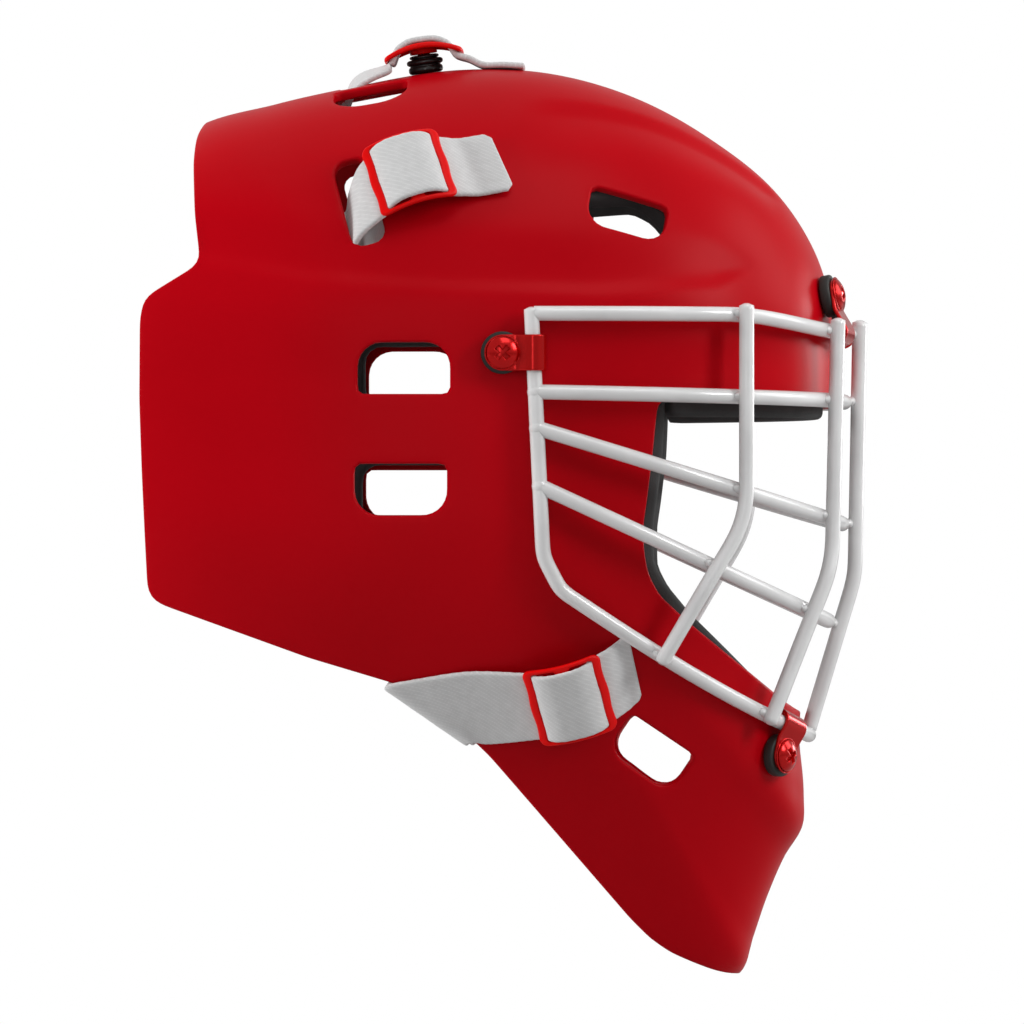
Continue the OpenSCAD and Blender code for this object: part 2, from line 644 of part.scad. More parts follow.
// The strap's way through its buckle: along and height over the stud
through_buckle = [
    [-0.5 * buckle_l, arch(0.5 * buckle_l) - buckle_t / 2 - strap_t / 2 - 0.5],
    [-0.5 * buckle_l + buckle_rim, arch(0.5 * buckle_l - buckle_rim) - buckle_t / 2 - strap_t / 2 - 0.9],
    [-0.23 * buckle_l, stud_h + 1.2],
    [-0.5 * centre_bar - 2.2, stud_h + buckle_t + 1.1],
    [-0.5 * centre_bar - 0.2, stud_h + buckle_t + strap_t / 2 + 0.6],
    [0, stud_h + buckle_t + strap_t / 2 + 0.7]
];
buckle_way = concat(through_buckle, [for (i = [4 : -1 : 0]) [-through_buckle[i].x, through_buckle[i].y]]);
strap_break = 0.9;
function under_rim(f) = by_stud(f, -buckle_l / 2 - strap_break, through_buckle[0].y);

lie = strap_t / 2 + 0.4;
tail_way = concat(buckle_way, [[0.5 * buckle_l + 3, through_buckle[0].y - 2]]);
tail_from = 0.5 * buckle_l + 8;
module side_tail(f, stud, tail) {
    span = norm(tail - stud);
    way = (tail - stud) / span;
    lying = [for (k = [tail_from, mix(tail_from, span, 0.5), span]) stud + k * way];
    centres = concat([for (p = tail_way) by_stud(f, p.x, p.y)], [for (p = lying) on_skin(p, lie)]);
    outs = concat([for (p = tail_way) f[1]], [for (p = lying) normal_at(p)]);
    color(grey) strap(squared(centres, outs));
}
module top_tail() {
    lying = [top_stud_x + tail_from, mix(top_stud_x + tail_from, top_tail_end, 0.5), top_tail_end];
    centres = concat([for (p = tail_way) by_stud(top_frame, p.x, p.y)], [for (x = lying) on_crown(x, lie)]);
    outs = concat([for (p = tail_way) top_frame[1]], [for (x = lying) crown_normal(x)]);
    color(grey) strap(squared(centres, outs));
}

// The back plate: an arc round the head's back, inside the ear wings
plate_r = 75;
plate_back = at(-114, 0).x;
plate_mid_z = -2;
plate_turn = plate_half_w / plate_r * 180 / PI;
plate_axis = plate_back + plate_r;
anchor_turn = 33;
anchor_z = 36;
anchor_l = 16;
function on_plate(turn, z, lift) = let (r = plate_r + lift)
    [plate_axis - r * cos(turn), -r * sin(turn), plate_mid_z + z];
function plate_out(turn) = [-cos(turn), -sin(turn), 0];

module plate_arc(r_in, r_out, low, high, turn)
    translate([plate_axis, 0, plate_mid_z]) rotate(180 - turn)
        rotate_extrude(angle = 2 * turn, $fn = 96) translate([r_in, low]) square([r_out - r_in, high - low]);
module plate_outline(grow = 0)
    hull()
        for (i = [-1, 1])
            for (j = [-1, 1])
                translate([i * (plate_r * sin(plate_turn) - 14), plate_mid_z + j * (plate_h / 2 - 14)])
                    circle(14 + grow, $fn = 32);
module back_plate()
    color(black) difference() {
        plate_arc(plate_r - plate_t, plate_r, -plate_h / 2, plate_h / 2, plate_turn);
        rotate([90, 0, -90]) linear_extrude(200) difference() {
            square([300, 400], center = true);
            plate_outline();
        }
    }
pad_inset = 5;
plate_pad_t = 8;
module back_plate_pad()
    color(foam) plate_arc(plate_r - plate_t - pad_gap - plate_pad_t, plate_r - plate_t - pad_gap,
        -plate_h / 2 + pad_inset + 6, plate_h / 2 - pad_inset - 6, plate_turn - 8);

// Straps from the back plate's anchors to their buckles, on the right side
lead_turn = anchor_turn + 14;
tab_lift = 1.6;
module upper_strap() {
    f = upper_frame;
    slot_gap = norm(upper_stud - side_slot);
    through = [
        [-slot_gap - 10, -wall - 4.2], [-slot_gap - 4.5, -wall - 2.4], [-slot_gap, -1.2], [-slot_gap + 3, 2]
    ];
    centres = concat(
        [on_plate(lead_turn, anchor_z, tab_lift), on_plate(lead_turn + 6, anchor_z + 1, tab_lift),
            on_plate(lead_turn + 15, anchor_z + 9, tab_lift), [-68, -80, 74]],
        [for (p = through) by_stud(f, p.x, p.y)],
        [under_rim(f)]
    );
    outs = concat([for (more = [0, 6, 15]) plate_out(lead_turn + more)], [[-0.2, -0.9, 0.3]],
        [for (p = through) f[1]], [f[1]]);
    color(grey) strap(squared(centres, outs));
}

fold_top = at(-27.6, -94.5);
fold_low = at(4, -116.5);
fold_out = unit([-0.6, -0.8]);
module lower_strap() {
    f = lower_frame;
    ends = squared([under_rim(f), by_stud(f, -buckle_l / 2, through_buckle[0].y)], [f[1], f[1]]);
    lead = squared(
        [on_plate(lead_turn, -anchor_z, tab_lift), on_plate(lead_turn + 6, -anchor_z - 0.5, tab_lift),
            on_plate(lead_turn + 15, -anchor_z - 4, tab_lift), [-64, -76, -60]],
        concat([for (more = [0, 6, 15]) plate_out(lead_turn + more)], [[-0.2, -0.95, -0.2]])
    );
    // Where the strap folds round the shell's lower rear edge
    inside = -wall - lie;
    beyond = strap_t / 2 + 0.7;
    fold = [for (s = [[1.5, inside], [-beyond, -wall / 2], [1, lie], [8, lie]]) let (
        a = fold_top - s[0] * fold_out,
        b = fold_low - s[0] * fold_out
    ) [on_skin(a, s[1]), on_skin(b, s[1]),
        s[0] < 0 ? [fold_out.x, 0, fold_out.y] : normal_at(mix(a, b, 0.5))]];
    rise = [[-36, -80, -77], [-7, -77, -97], [-0.1, -1, -0.1]];
    color(grey) strap(concat(lead, [rise], fold, [ends[0]]));
}

module top_strap() {
    f = top_frame;
    climb = [[-105, 68], [-97, 82], [-88, 104], [-74, 122], [-60, 133]];
    slot_gap = top_stud_x - top_slot_x;
    through = [[-slot_gap - 4, -wall - 4], [-slot_gap, -1.4], [-slot_gap + 4, 1.8]];
    centres = concat(
        [on_plate(0, plate_h / 2 + 1.2, tab_lift)],
        [for (p = climb) [p[0], 0, p[1]]],
        [for (p = through) by_stud(f, p.x, p.y)],
        [under_rim(f)]
    );
    outs = concat([plate_out(0)], [for (i = [0 : len(climb) - 1]) [-1, 0, 0.2 + 0.4 * i]],
        [for (p = through) f[1]], [f[1]]);
    color(grey) strap(squared(centres, outs));
}

module anchor_tab(turn, z, up) {
    centres = up ? [for (k = [0 : 2]) on_plate(0, plate_h / 2 - anchor_l + k * anchor_l / 2, tab_lift)]
        : [for (k = [0 : 3]) on_plate(anchor_turn - 6 + k * 6, z, tab_lift)];
    outs = [for (k = [0 : len(centres) - 1]) plate_out(up ? 0 : anchor_turn - 6 + k * 6)];
    strap(squared(centres, outs));
}
module strap_anchors()
    color(grey) {
        both_sides()
            for (z = [-anchor_z, anchor_z]) anchor_tab(anchor_turn, z, false);
        anchor_tab(0, 0, true);
    }
rivet_d = 8;
rivet_h = 1.6;
module anchor_rivets()
    color(steel) {
        both_sides()
            for (z = [-anchor_z, anchor_z])
                seated(on_plate(anchor_turn, z, 0.4 + strap_t + 0.3), plate_out(anchor_turn), [0, 0, 1])
                    cylinder(h = rivet_h, d = rivet_d, $fn = 32);
        seated(on_plate(0, plate_h / 2 - anchor_l / 2, 0.4 + strap_t + 0.3), plate_out(0), [0, 0, 1])
            cylinder(h = rivet_h, d = rivet_d, $fn = 32);
    }

// The shell: the skin less its inner side, the eye opening, the vents and the screw holes
hole_gap = 0.3;
module shell()
    color(red) difference() {
        intersection() {
            inset_skin(0);
            through_sides() trim_outline();
        }
        inset_skin(wall);
        through_sides() eye_outline();
        vents();
        at_clips() translate([0, 0, -20]) cylinder(h = 40, d = screw_d + 2 * hole_gap, $fn = 24);
        at_studs() translate([0, 0, -20]) cylinder(h = 40, d = screw_d + 2 * hole_gap, $fn = 24);
    }

// Liner pads are cut from one sheet of foam and lie against the inside of the shell
vent_margin = 2;
pocket_d = 18;
module liner()
    difference() {
        intersection() {
            inset_skin(wall + pad_gap);
            children();
        }
        inset_skin(wall + pad_gap + pad_t);
        vents(vent_margin);
        at_clips() translate([0, 0, -30]) cylinder(h = 40, d = pocket_d, $fn = 24);
        at_studs() translate([0, 0, -30]) cylinder(h = 40, d = pocket_d, $fn = 24);
    }
module forehead_pad()
    color(foam) liner() through_sides()
        polygon([
            [at(86, 0).x, brow_z - pad_show], [at(200, 0).x, brow_z - pad_show], at(200, 84), at(88, 84)
        ]);
module crown_pad()
    color(foam) liner() through_sides()
        polygon([
            at(-18, 124), at(40, 124), at(78, 112), at(112, 88), at(200, 88), at(200, 200), at(-18, 200)
        ]);
module temple_pad()
    color(foam) liner() through_right()
        polygon([at(28, 62), at(82, 62), at(82, 87), at(109, 87), at(76, 109), at(38, 121), at(28, 121)]);
module ear_pad()
    color(foam) liner() through_right()
        polygon([
            at(-97, -44), at(-90, -50), at(-8, -50), at(-2, -44),
            at(-2, 50), at(-8, 56), at(-90, 56), at(-97, 50)
        ]);
// The cheek pad's front edge runs along the eye opening's rear edge
module cheek_pad()
    color(foam) liner() through_right()
        polygon(concat(
            [at(2, 16)],
            [for (p = [at(78.6, 16), at(77.8, -1.2), at(75.6, -19.6), at(74, -30.4), at(74.2, -40.4)])
                p + [pad_show, 0]],
            [for (p = [at(76, -50), at(80.4, -58.4), at(91.6, -68.8), at(120, -92)])
                p + pad_show * [0.7, 0.7]],
            [at(108, -104), at(60, -98), at(2, -78)]
        ));
module chin_pad()
    color(foam) liner() through_sides()
        polygon([at(98, -138), at(200, -138), at(200, -190), at(94, -190)]);

module left() mirror([0, 1, 0]) children();

shell();
forehead_pad();
crown_pad();
left() temple_pad();  // temple_pad_left
temple_pad();  // temple_pad_right
left() ear_pad();  // ear_pad_left
ear_pad();  // ear_pad_right
left() cheek_pad();  // cheek_pad_left
cheek_pad();  // cheek_pad_right
chin_pad();
cage_frame();
cage_bar(at(0, 22.4).y, at(0, 20).y);  // cage_brow_bar
cage_bar(at(0, 8).y, at(0, -29).y);  // cage_middle_bar
cage_bar(at(0, -15).y, at(0, -68).y);  // cage_lower_bar
left() cage_upright(side_bar, 12);  // cage_side_bar_left
cage_upright(side_bar, 12);  // cage_side_bar_right
left() cage_upright(inner_bar, 10);  // cage_inner_bar_left
cage_upright(inner_bar, 10);  // cage_inner_bar_right
cage_centre_bar();
both_sides() clip(clip_sites[0]);  // side_clips
both_sides() clip(clip_sites[1]);  // top_clips
both_sides() clip(clip_sites[2]);  // chin_clips
clip_washers();
clip_screws();
clip_nuts();
strap_studs();
stud_nuts();
top_strap();
left() upper_strap();  // upper_strap_left
upper_strap();  // upper_strap_right
left() lower_strap();  // lower_strap_left
lower_strap();  // lower_strap_right
buckle(top_frame);  // top_buckle
left() buckle(upper_frame);  // upper_buckle_left
buckle(upper_frame);  // upper_buckle_right
left() buckle(lower_frame);  // lower_buckle_left
buckle(lower_frame);  // lower_buckle_right
top_tail();
left() side_tail(upper_frame, upper_stud, upper_tail_end);  // upper_tail_left
side_tail(upper_frame, upper_stud, upper_tail_end);  // upper_tail_right
left() side_tail(lower_frame, lower_stud, lower_tail_end);  // lower_tail_left
side_tail(lower_frame, lower_stud, lower_tail_end);  // lower_tail_right
back_plate();
back_plate_pad();
strap_anchors();
anchor_rivets();
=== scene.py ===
import math

import bmesh
import bpy
import numpy as np
from mathutils import Matrix, Vector
from mathutils.geometry import delaunay_2d_cdt


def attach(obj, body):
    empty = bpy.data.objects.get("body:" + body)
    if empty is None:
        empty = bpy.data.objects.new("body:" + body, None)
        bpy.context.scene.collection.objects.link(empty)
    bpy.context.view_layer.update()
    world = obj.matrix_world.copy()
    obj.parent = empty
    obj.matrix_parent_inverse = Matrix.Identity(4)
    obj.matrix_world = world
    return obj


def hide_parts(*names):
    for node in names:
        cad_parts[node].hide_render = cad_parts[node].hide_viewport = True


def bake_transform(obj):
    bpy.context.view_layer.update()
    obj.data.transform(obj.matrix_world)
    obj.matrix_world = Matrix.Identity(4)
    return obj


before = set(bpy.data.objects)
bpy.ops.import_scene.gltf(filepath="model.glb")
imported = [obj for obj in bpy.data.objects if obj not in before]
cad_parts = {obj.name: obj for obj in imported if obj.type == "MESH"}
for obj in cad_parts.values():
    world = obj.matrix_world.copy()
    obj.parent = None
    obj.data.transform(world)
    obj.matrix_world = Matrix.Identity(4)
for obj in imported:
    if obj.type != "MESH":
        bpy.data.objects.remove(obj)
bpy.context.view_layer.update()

# Lengths below are millimetres, as in the CAD source, and become metres when a mesh is made.
MM = 0.001

# Shell
HALF_WIDTH = 108
CHIN_HALF_WIDTH = 60
SHOULDER_STEP = 3
SHOULDER_Z = 62
SHOULDER_FADE = 36
JAW_TOP_Z = -20
JAW_POWER = 1.15
CHIN_DEPTH = 211
WALL = 4
FULLNESS = 2.35
PROFILE = [
    (149, 5), (149.4, 44.7), (146.8, 66.2), (139.8, 84.7), (125.2, 105.5),
    (100, 125.8), (70, 142.3), (35, 152.3), (0, 153.8), (-40, 147.7),
    (-75, 140), (-103, 132.6), (-138, 110.9), (-162.6, 73.9), (-176.6, 1),
    (-166.4, -80.2), (-128, -156), (-55, -207), (19.4, -221), (71.5, -227),
    (98.3, -219.4), (112.9, -208.3), (117, -195.6), (122.5, -179.4), (129.3, -163.5),
    (137, -150.2), (137.4, -137.2), (135.6, -112), (138.4, -73.9), (144, -38),
]
TRIM = [
    (-103.8, 76), (-106, 94), (-107.2, 116), (-106.6, 126), (-104.4, 131.6),
    (-100, 137), (-100, 190), (200, 190), (200, -212),
    (108, -210.4), (104, -209.6), (100, -208.4), (92, -205.2),
    (84, -201.6), (76, -196), (68, -188), (12, -122.8), (-6, -105.5),
    (-24, -94.4), (-60, -83.6), (-119, -62.3), (-122.8, -60), (-124.8, -56),
    (-127, -8), (-128, 20), (-127.9, 52), (-126.6, 59), (-124, 62.2), (-106, 73),
]
BROW_Z = 18.6
EYE = [
    (79.6, 17), (80.6, 19.2), (84, 19.6), (140, 17.6), (200, 16), (200, -118),
    (137, -104.8), (131, -101), (124.4, -95.6), (91.6, -68.8), (80.4, -58.4), (76, -50),
    (74.2, -40.4), (74, -30.4), (75.6, -19.6), (77.8, -1.2),
]
EAR_VENT = (37, 20.5)
JAW_VENT = (31, 18)
TEMPLE_VENT = (32, 17)
CROWN_VENT = (30, 25)
SIDE_SLOT = (14, 35)
TOP_SLOT = (9, 32)
VENT_CORNER = 2.6

# Cage
WIRE_D = 6
WIRE_GAP = 1.5
CHIN_GAP = 0.9
WELD = 0.5
CAGE_REACH = 154.5
CAGE_REAR_X = 30
CAGE_TOP_Z = 53.6
CAGE_LOW_Z = -50
CAGE_CHIN = (135.6 + CHIN_GAP + WIRE_D / 2, -114)
CAGE_FLAT_DROP = 2
CAGE_FULLNESS = 2.25
FRAME_HEEL = (34.4, -52)
FRAME_BROW_DROP = 7

# Clips, screws and harness
CLIP_W = 14.4
CLIP_T = 1.4
WASHER_D = 17
WASHER_T = 4.5
SCREW_HEAD_D = 12.5
SCREW_D = 5
STRAP_W = 28
STRAP_SHOWN_W = 29.2
STRAP_T = 2.4
BUCKLE_L = 32
BUCKLE_T = 2.2
BUCKLE_RIM = 3.4
STUD_H = 10
SIDE_RIM = 1.8
BUCKLE_W = STRAP_W + 2 + 2 * SIDE_RIM
ARCH_DROP = 4.2
CENTRE_BAR = 6
STRAP_CLEAR = 0.4
LIE = STRAP_T / 2 + STRAP_CLEAR
PAD_GAP = 0.3
PAD_T = 10


def unit(v):
    """A vector, or each row of an array, at length 1."""
    return v / np.linalg.norm(v, axis=-1, keepdims=True)


def smooth(u):
    c = np.clip(u, 0, 1)
    return c * c * (3 - 2 * c)


def mix(a, b, u):
    return a + (b - a) * u


def heading(angle):
    return np.array([math.cos(angle), math.sin(angle)])


def last_inside(inside, lo, hi):
    """Where between two numbers a test stops holding that holds at the first one."""
    for _ in range(40):
        m = (lo + hi) / 2
        if inside(m):
            lo = m
        else:
            hi = m
    return lo


# The closed skin that the shell, the pads and the cage follow
knot_angle = np.degrees([math.atan2(z, x) for x, z in PROFILE]) % 360
knot_radius = np.array([math.hypot(x, z) for x, z in PROFILE])


def turned(a, b):
    return ((b - a) % 360 + 540) % 360 - 180


knot_slope = np.array([
    (knot_radius[(i + 1) % len(PROFILE)] - knot_radius[i - 1])
    / turned(knot_angle[i - 1], knot_angle[(i + 1) % len(PROFILE)])
    for i in range(len(PROFILE))
])


def radius(angle):
    """Radius of the side profile in a direction in degrees, a cubic through the profile's points."""
    a = (np.asarray(angle, float) - knot_angle[0]) % 360 + knot_angle[0]
    i = np.clip(np.searchsorted(knot_angle, a, side="right") - 1, 0, len(PROFILE) - 1)
    j = (i + 1) % len(PROFILE)
    step = (knot_angle[j] - knot_angle[i]) % 360
    u = (a - knot_angle[i]) / step
    return ((2 * u**3 - 3 * u**2 + 1) * knot_radius[i] + (u**3 - 2 * u**2 + u) * knot_slope[i] * step
            + (3 * u**2 - 2 * u**3) * knot_radius[j] + (u**3 - u**2) * knot_slope[j] * step)


def half_width(z):
    return (HALF_WIDTH - SHOULDER_STEP * smooth((SHOULDER_Z - z) / SHOULDER_FADE)
            - (HALF_WIDTH - SHOULDER_STEP - CHIN_HALF_WIDTH)
            * smooth((JAW_TOP_Z - z) / (CHIN_DEPTH + JAW_TOP_Z)) ** JAW_POWER)


def share(x, z):
    """How far a place in the side view lies out to the profile, from 0 to 1."""
    return np.hypot(x, z) / radius(np.degrees(np.arctan2(z, x)))


def skin_y(x, z):
    s = np.minimum(share(x, z), 1)
    return half_width(z) * (1 - s**FULLNESS) ** (1 / FULLNESS)


def implicit(p):
    p = np.asarray(p, float)
    x, y, z = p[..., 0], np.abs(p[..., 1]), p[..., 2]
    return (y / half_width(z)) ** FULLNESS + share(x, z) ** FULLNESS - 1


def normals(p, d=0.4):
    """Outward normals of the skin at points on or near it."""
    p = np.asarray(p, float)
    g = np.stack([implicit(p + d * e) - implicit(p - d * e) for e in np.eye(3)], axis=-1)
    return unit(g)


def skin_point(x, z):
    """The point of the right side's skin at a place in the side view."""
    return np.array([x, -float(skin_y(x, z)), z])


def on_skin(x, z, lift=0.0):
    p = skin_point(x, z)
    return p + lift * normals(p)


def to_disc(p):
    """Where a point on the skin lies in the flat disc that the right side unrolls to."""
    p = np.asarray(p, float)
    s = share(p[..., 0], p[..., 2]) ** (FULLNESS / 2)
    c = (np.abs(p[..., 1]) / half_width(p[..., 2])) ** (FULLNESS / 2)
    t = np.arctan2(s, c) * 2 / math.pi
    a = np.arctan2(p[..., 2], p[..., 0])
    return np.stack([t * np.cos(a), t * np.sin(a)], axis=-1)


def from_disc(q):
    q = np.asarray(q, float)
    t = np.minimum(np.hypot(q[..., 0], q[..., 1]), 1)
    a = np.arctan2(q[..., 1], q[..., 0])
    r = radius(np.degrees(a)) * np.sin(t * math.pi / 2) ** (2 / FULLNESS)
    z = r * np.sin(a)
    y = -half_width(z) * np.clip(np.cos(t * math.pi / 2), 0, 1) ** (2 / FULLNESS)
    return np.stack([r * np.cos(a), y, z], axis=-1)


def lifted_to(x, z, lift):
    """The point of the lifted skin that shows at a place in the side view."""
    a, s = math.atan2(z, x), 0.95 * float(share(x, z))
    for _ in range(24):
        t = math.asin(min(1, s) ** (FULLNESS / 2)) * 2 / math.pi
        p = from_disc(t * heading(a))
        q = p + lift * normals(p)
        a += math.atan2(z, x) - math.atan2(q[2], q[0])
        s *= math.hypot(x, z) / math.hypot(q[0], q[2])
    return q


# Meshes: a part is a list of points, a list of faces and, where it has them, flat places for its texture
MERGE_DISTANCE = 0.000005


def new_object(name, data):
    obj = bpy.data.objects.new(name, data)
    bpy.context.scene.collection.objects.link(obj)
    return obj


def mesh_object(name, part, merge=MERGE_DISTANCE):
    """A part's object, with doubled points merged, loose ones dropped and all faces looking outwards."""
    points, faces, *flat = part
    mesh = bpy.data.meshes.new(name)
    metres = [tuple(float(c) * MM for c in p) for p in points]
    mesh.from_pydata(metres, [], [tuple(map(int, f)) for f in faces])
    if flat:
        layer = mesh.uv_layers.new(name="UVMap")
        for loop in mesh.loops:
            layer.data[loop.index].uv = flat[0][loop.vertex_index]
    mesh.validate()
    bm = bmesh.new()
    bm.from_mesh(mesh)
    bmesh.ops.delete(bm, geom=[v for v in bm.verts if not v.link_faces], context="VERTS")
    bmesh.ops.remove_doubles(bm, verts=bm.verts, dist=merge)
    bmesh.ops.recalc_face_normals(bm, faces=bm.faces)
    for face in bm.faces:
        face.smooth = True
    bm.to_mesh(mesh)
    bm.free()
    return new_object(name, mesh)


def join_meshes(parts):
    """Points and faces of several parts as one list of each."""
    points, faces = [], []
    for more_points, more_faces, *_ in parts:
        base = len(points)
        points += list(more_points)
        faces += [tuple(base + i for i in f) for f in more_faces]
    return points, faces


def mirrored(part):
    points, faces = part[:2]
    return [np.array([p[0], -p[1], p[2]]) for p in points], [tuple(reversed(f)) for f in faces]


def both_sides(part):
    return join_meshes([part, mirrored(part)])


def added(points, more):
    """Adds points to a list and returns their numbers in it."""
    first = len(points)
    points += list(more)
    return list(range(first, len(points)))


def quads(rows, closed=True):
    """Faces between rows of point numbers."""
    m = len(rows[0])
    return [(a[i], a[(i + 1) % m], b[(i + 1) % m], b[i])
            for a, b in zip(rows[:-1], rows[1:]) for i in range(m if closed else m - 1)]


# Paths and outlines
def lengths_along(path):
    """How far along a path each of its points lies."""
    return np.concatenate([[0], np.cumsum(np.linalg.norm(np.diff(path, axis=0), axis=1))])


def resample(points, spacing, closed=False):
    """A path at an even spacing. A closed one comes with its first point again at its end."""
    pts = np.asarray(points, float)
    along = lengths_along(pts)
    where = np.linspace(0, along[-1], max(2, int(round(along[-1] / spacing))) + 1)
    if closed:
        where = where[:-1]
    return np.stack([np.interp(where, along, pts[:, k]) for k in range(pts.shape[1])], axis=-1)


def tangents(path, closed=False):
    p = np.asarray(path, float)
    if closed:
        return unit(np.roll(p, -1, 0) - np.roll(p, 1, 0))
    return unit(np.vstack([p[1:2] - p[:1], p[2:] - p[:-2], p[-1:] - p[-2:-1]]))


def spline(points, spacing):
    """Points every so far along a smooth curve through the given ones."""
    pts = np.asarray(points, float)
    pts = np.vstack([2 * pts[0] - pts[1], pts, 2 * pts[-1] - pts[-2]])
    fine = []
    for p in zip(pts[:-3], pts[1:-2], pts[2:-1], pts[3:]):
        k = [0.0]
        for before, after in zip(p[:-1], p[1:]):
            k.append(k[-1] + max(1e-6, np.linalg.norm(after - before)) ** 0.5)

        def between(a, b, i, j):
            return (k[j] - u) / (k[j] - k[i]) * a + (u - k[i]) / (k[j] - k[i]) * b
        for u in np.linspace(k[1], k[2], 12, endpoint=False):
            a = [between(p[i], p[i + 1], i, i + 1) for i in range(3)]
            b = [between(a[i], a[i + 1], i, i + 2) for i in range(2)]
            fine.append(between(b[0], b[1], 1, 2))
    fine.append(pts[-2])
    return resample(fine, spacing)


def eased(path, rounds):
    """An open path with its corners eased by averaging neighbours."""
    p = np.asarray(path, float)
    for _ in range(rounds):
        p = np.vstack([p[:1], (p[:-2] + p[1:-1] + p[2:]) / 3, p[-1:]])
    return p


OUTLINE_STEP = 0.5


def dense(outline):
    return resample(np.array(list(outline) + [outline[0]], float), OUTLINE_STEP, closed=True)


def softened(outline, rounds):
    """A closed outline with its corners rounded a little."""
    pts = dense(outline)
    for _ in range(rounds):
        pts = (np.roll(pts, 1, 0) + pts + np.roll(pts, -1, 0)) / 3
    return pts


def turns_left(outline):
    x, y = np.asarray(outline, float).T
    return np.sum(x * np.roll(y, -1) - np.roll(x, -1) * y) > 0


# The sides of a rectangle's corners, and where each one's quarter turn starts
CORNERS = ((1, 1, 0), (-1, 1, 90), (-1, -1, 180), (1, -1, 270))


def rounded_box(length, height, radii, count=8):
    """A rectangle's outline, with one radius for its corners or four, from the upper right one round."""
    pts = []
    for (sx, sy, start), r in zip(CORNERS, np.broadcast_to(radii, 4)):
        for k in range(count):
            a = math.radians(start + 90 * k / (count - 1))
            pts.append((sx * (length / 2 - r) + r * math.cos(a), sy * (height / 2 - r) + r * math.sin(a)))
    return np.array(pts)


def in_polygon(q, poly):
    x, y = q[:, 0], q[:, 1]
    inside = np.zeros(len(q), bool)
    for (x0, y0), (x1, y1) in zip(poly, np.roll(poly, -1, 0)):
        crosses = (y0 > y) != (y1 > y)
        if crosses.any():
            at = x0 + (y - y0) / (y1 - y0 + 1e-30) * (x1 - x0)
            inside ^= crosses & (x < at)
    return inside


# Flat meshes, which sheets and plates are bent from
def within(q, outer, cuts):
    """Which places lie inside one loop and outside the others."""
    inside = in_polygon(q, outer)
    for cut in cuts:
        inside &= ~in_polygon(q, cut)
    return inside


def chained(loops, closed):
    """Points of several loops as one list, the number each starts at, and the segments along them."""
    points, starts, segments = [], [], []
    for loop, is_closed in zip(loops, closed):
        first, m = len(points), len(loop)
        starts.append(first)
        points += [tuple(q) for q in loop]
        segments += [(first + i, first + (i + 1) % m) for i in range(m if is_closed else m - 1)]
    return points, starts, segments


def away_from(fixed, points, gap):
    """Which points lie further than a gap from all of the fixed ones."""
    return np.array([np.min(np.linalg.norm(fixed - q, axis=1)) > gap for q in points])


def triangulated(points, segments, outer, cuts, tolerance):
    """Points and triangles between segments, and the new number of each point that was given."""
    found = delaunay_2d_cdt([Vector(q) for q in points], segments, [], 0, tolerance)
    flat = np.array([(v[0], v[1]) for v in found[0]])
    tri = np.array([f for f in found[2] if len(f) == 3])
    tri = tri[within(flat[tri].mean(axis=1), outer, cuts)]
    a, b, c = flat[tri[:, 0]], flat[tri[:, 1]], flat[tri[:, 2]]
    turn = (b[:, 0] - a[:, 0]) * (c[:, 1] - a[:, 1]) - (b[:, 1] - a[:, 1]) * (c[:, 0] - a[:, 0])
    tri = np.where(turn[:, None] > 0, tri, tri[:, ::-1])
    return flat, tri, {old: new for new, olds in enumerate(found[3]) for old in olds}


def upper_and_lower(tri, base):
    """Faces of an upper surface, and of a lower one whose points come after the upper one's."""
    return [tuple(f) for f in tri] + [tuple(base + i for i in f[::-1]) for f in tri]


# Sheets cut from the skin: the shell and the liner pads
RIM_ANGLES = np.radians(np.arange(0, 360, 0.8))
RIM_GAP = 0.004
RIM_NUDGE = 0.99999
ON_RIM = 0.999999
GRID_CLEAR = 0.55
EDGE_STEPS = 4
SHEET_MERGE = 0.00002


def edge_point(outer, inner):
    return mix(inner, outer, last_inside(lambda u: share(*mix(inner, outer, u)) < 1, 0.0, 1.0))


def runs_inside(outline):
    """The stretches of a closed side-view outline that lie on the skin, and whether that is all of it."""
    pts = np.asarray(outline)
    inside = share(pts[:, 0], pts[:, 1]) < 1
    if inside.all():
        return [np.vstack([pts, pts[:1]])], True
    runs = []
    for i in range(len(pts)):
        if inside[i] and not inside[i - 1]:
            run = [edge_point(pts[i - 1], pts[i])]
            while inside[i % len(pts)]:
                run.append(pts[i % len(pts)])
                i += 1
            runs.append(np.array(run + [edge_point(pts[i % len(pts)], run[-1])]))
    return runs, False


def raised(run):
    """A run of side-view places as closely spaced points on the right side's skin."""
    out = [skin_point(*run[0])]
    for a, b in zip(run[:-1], run[1:]):
        stack = [(a, b, 0)]
        while stack:
            a1, b1, depth = stack.pop()
            if depth < 12 and np.linalg.norm(skin_point(*a1) - skin_point(*b1)) > 1.0:
                m = (a1 + b1) / 2
                stack += [(m, b1, depth + 1), (a1, m, depth + 1)]
            else:
                out.append(skin_point(*b1))
    return np.array(out)


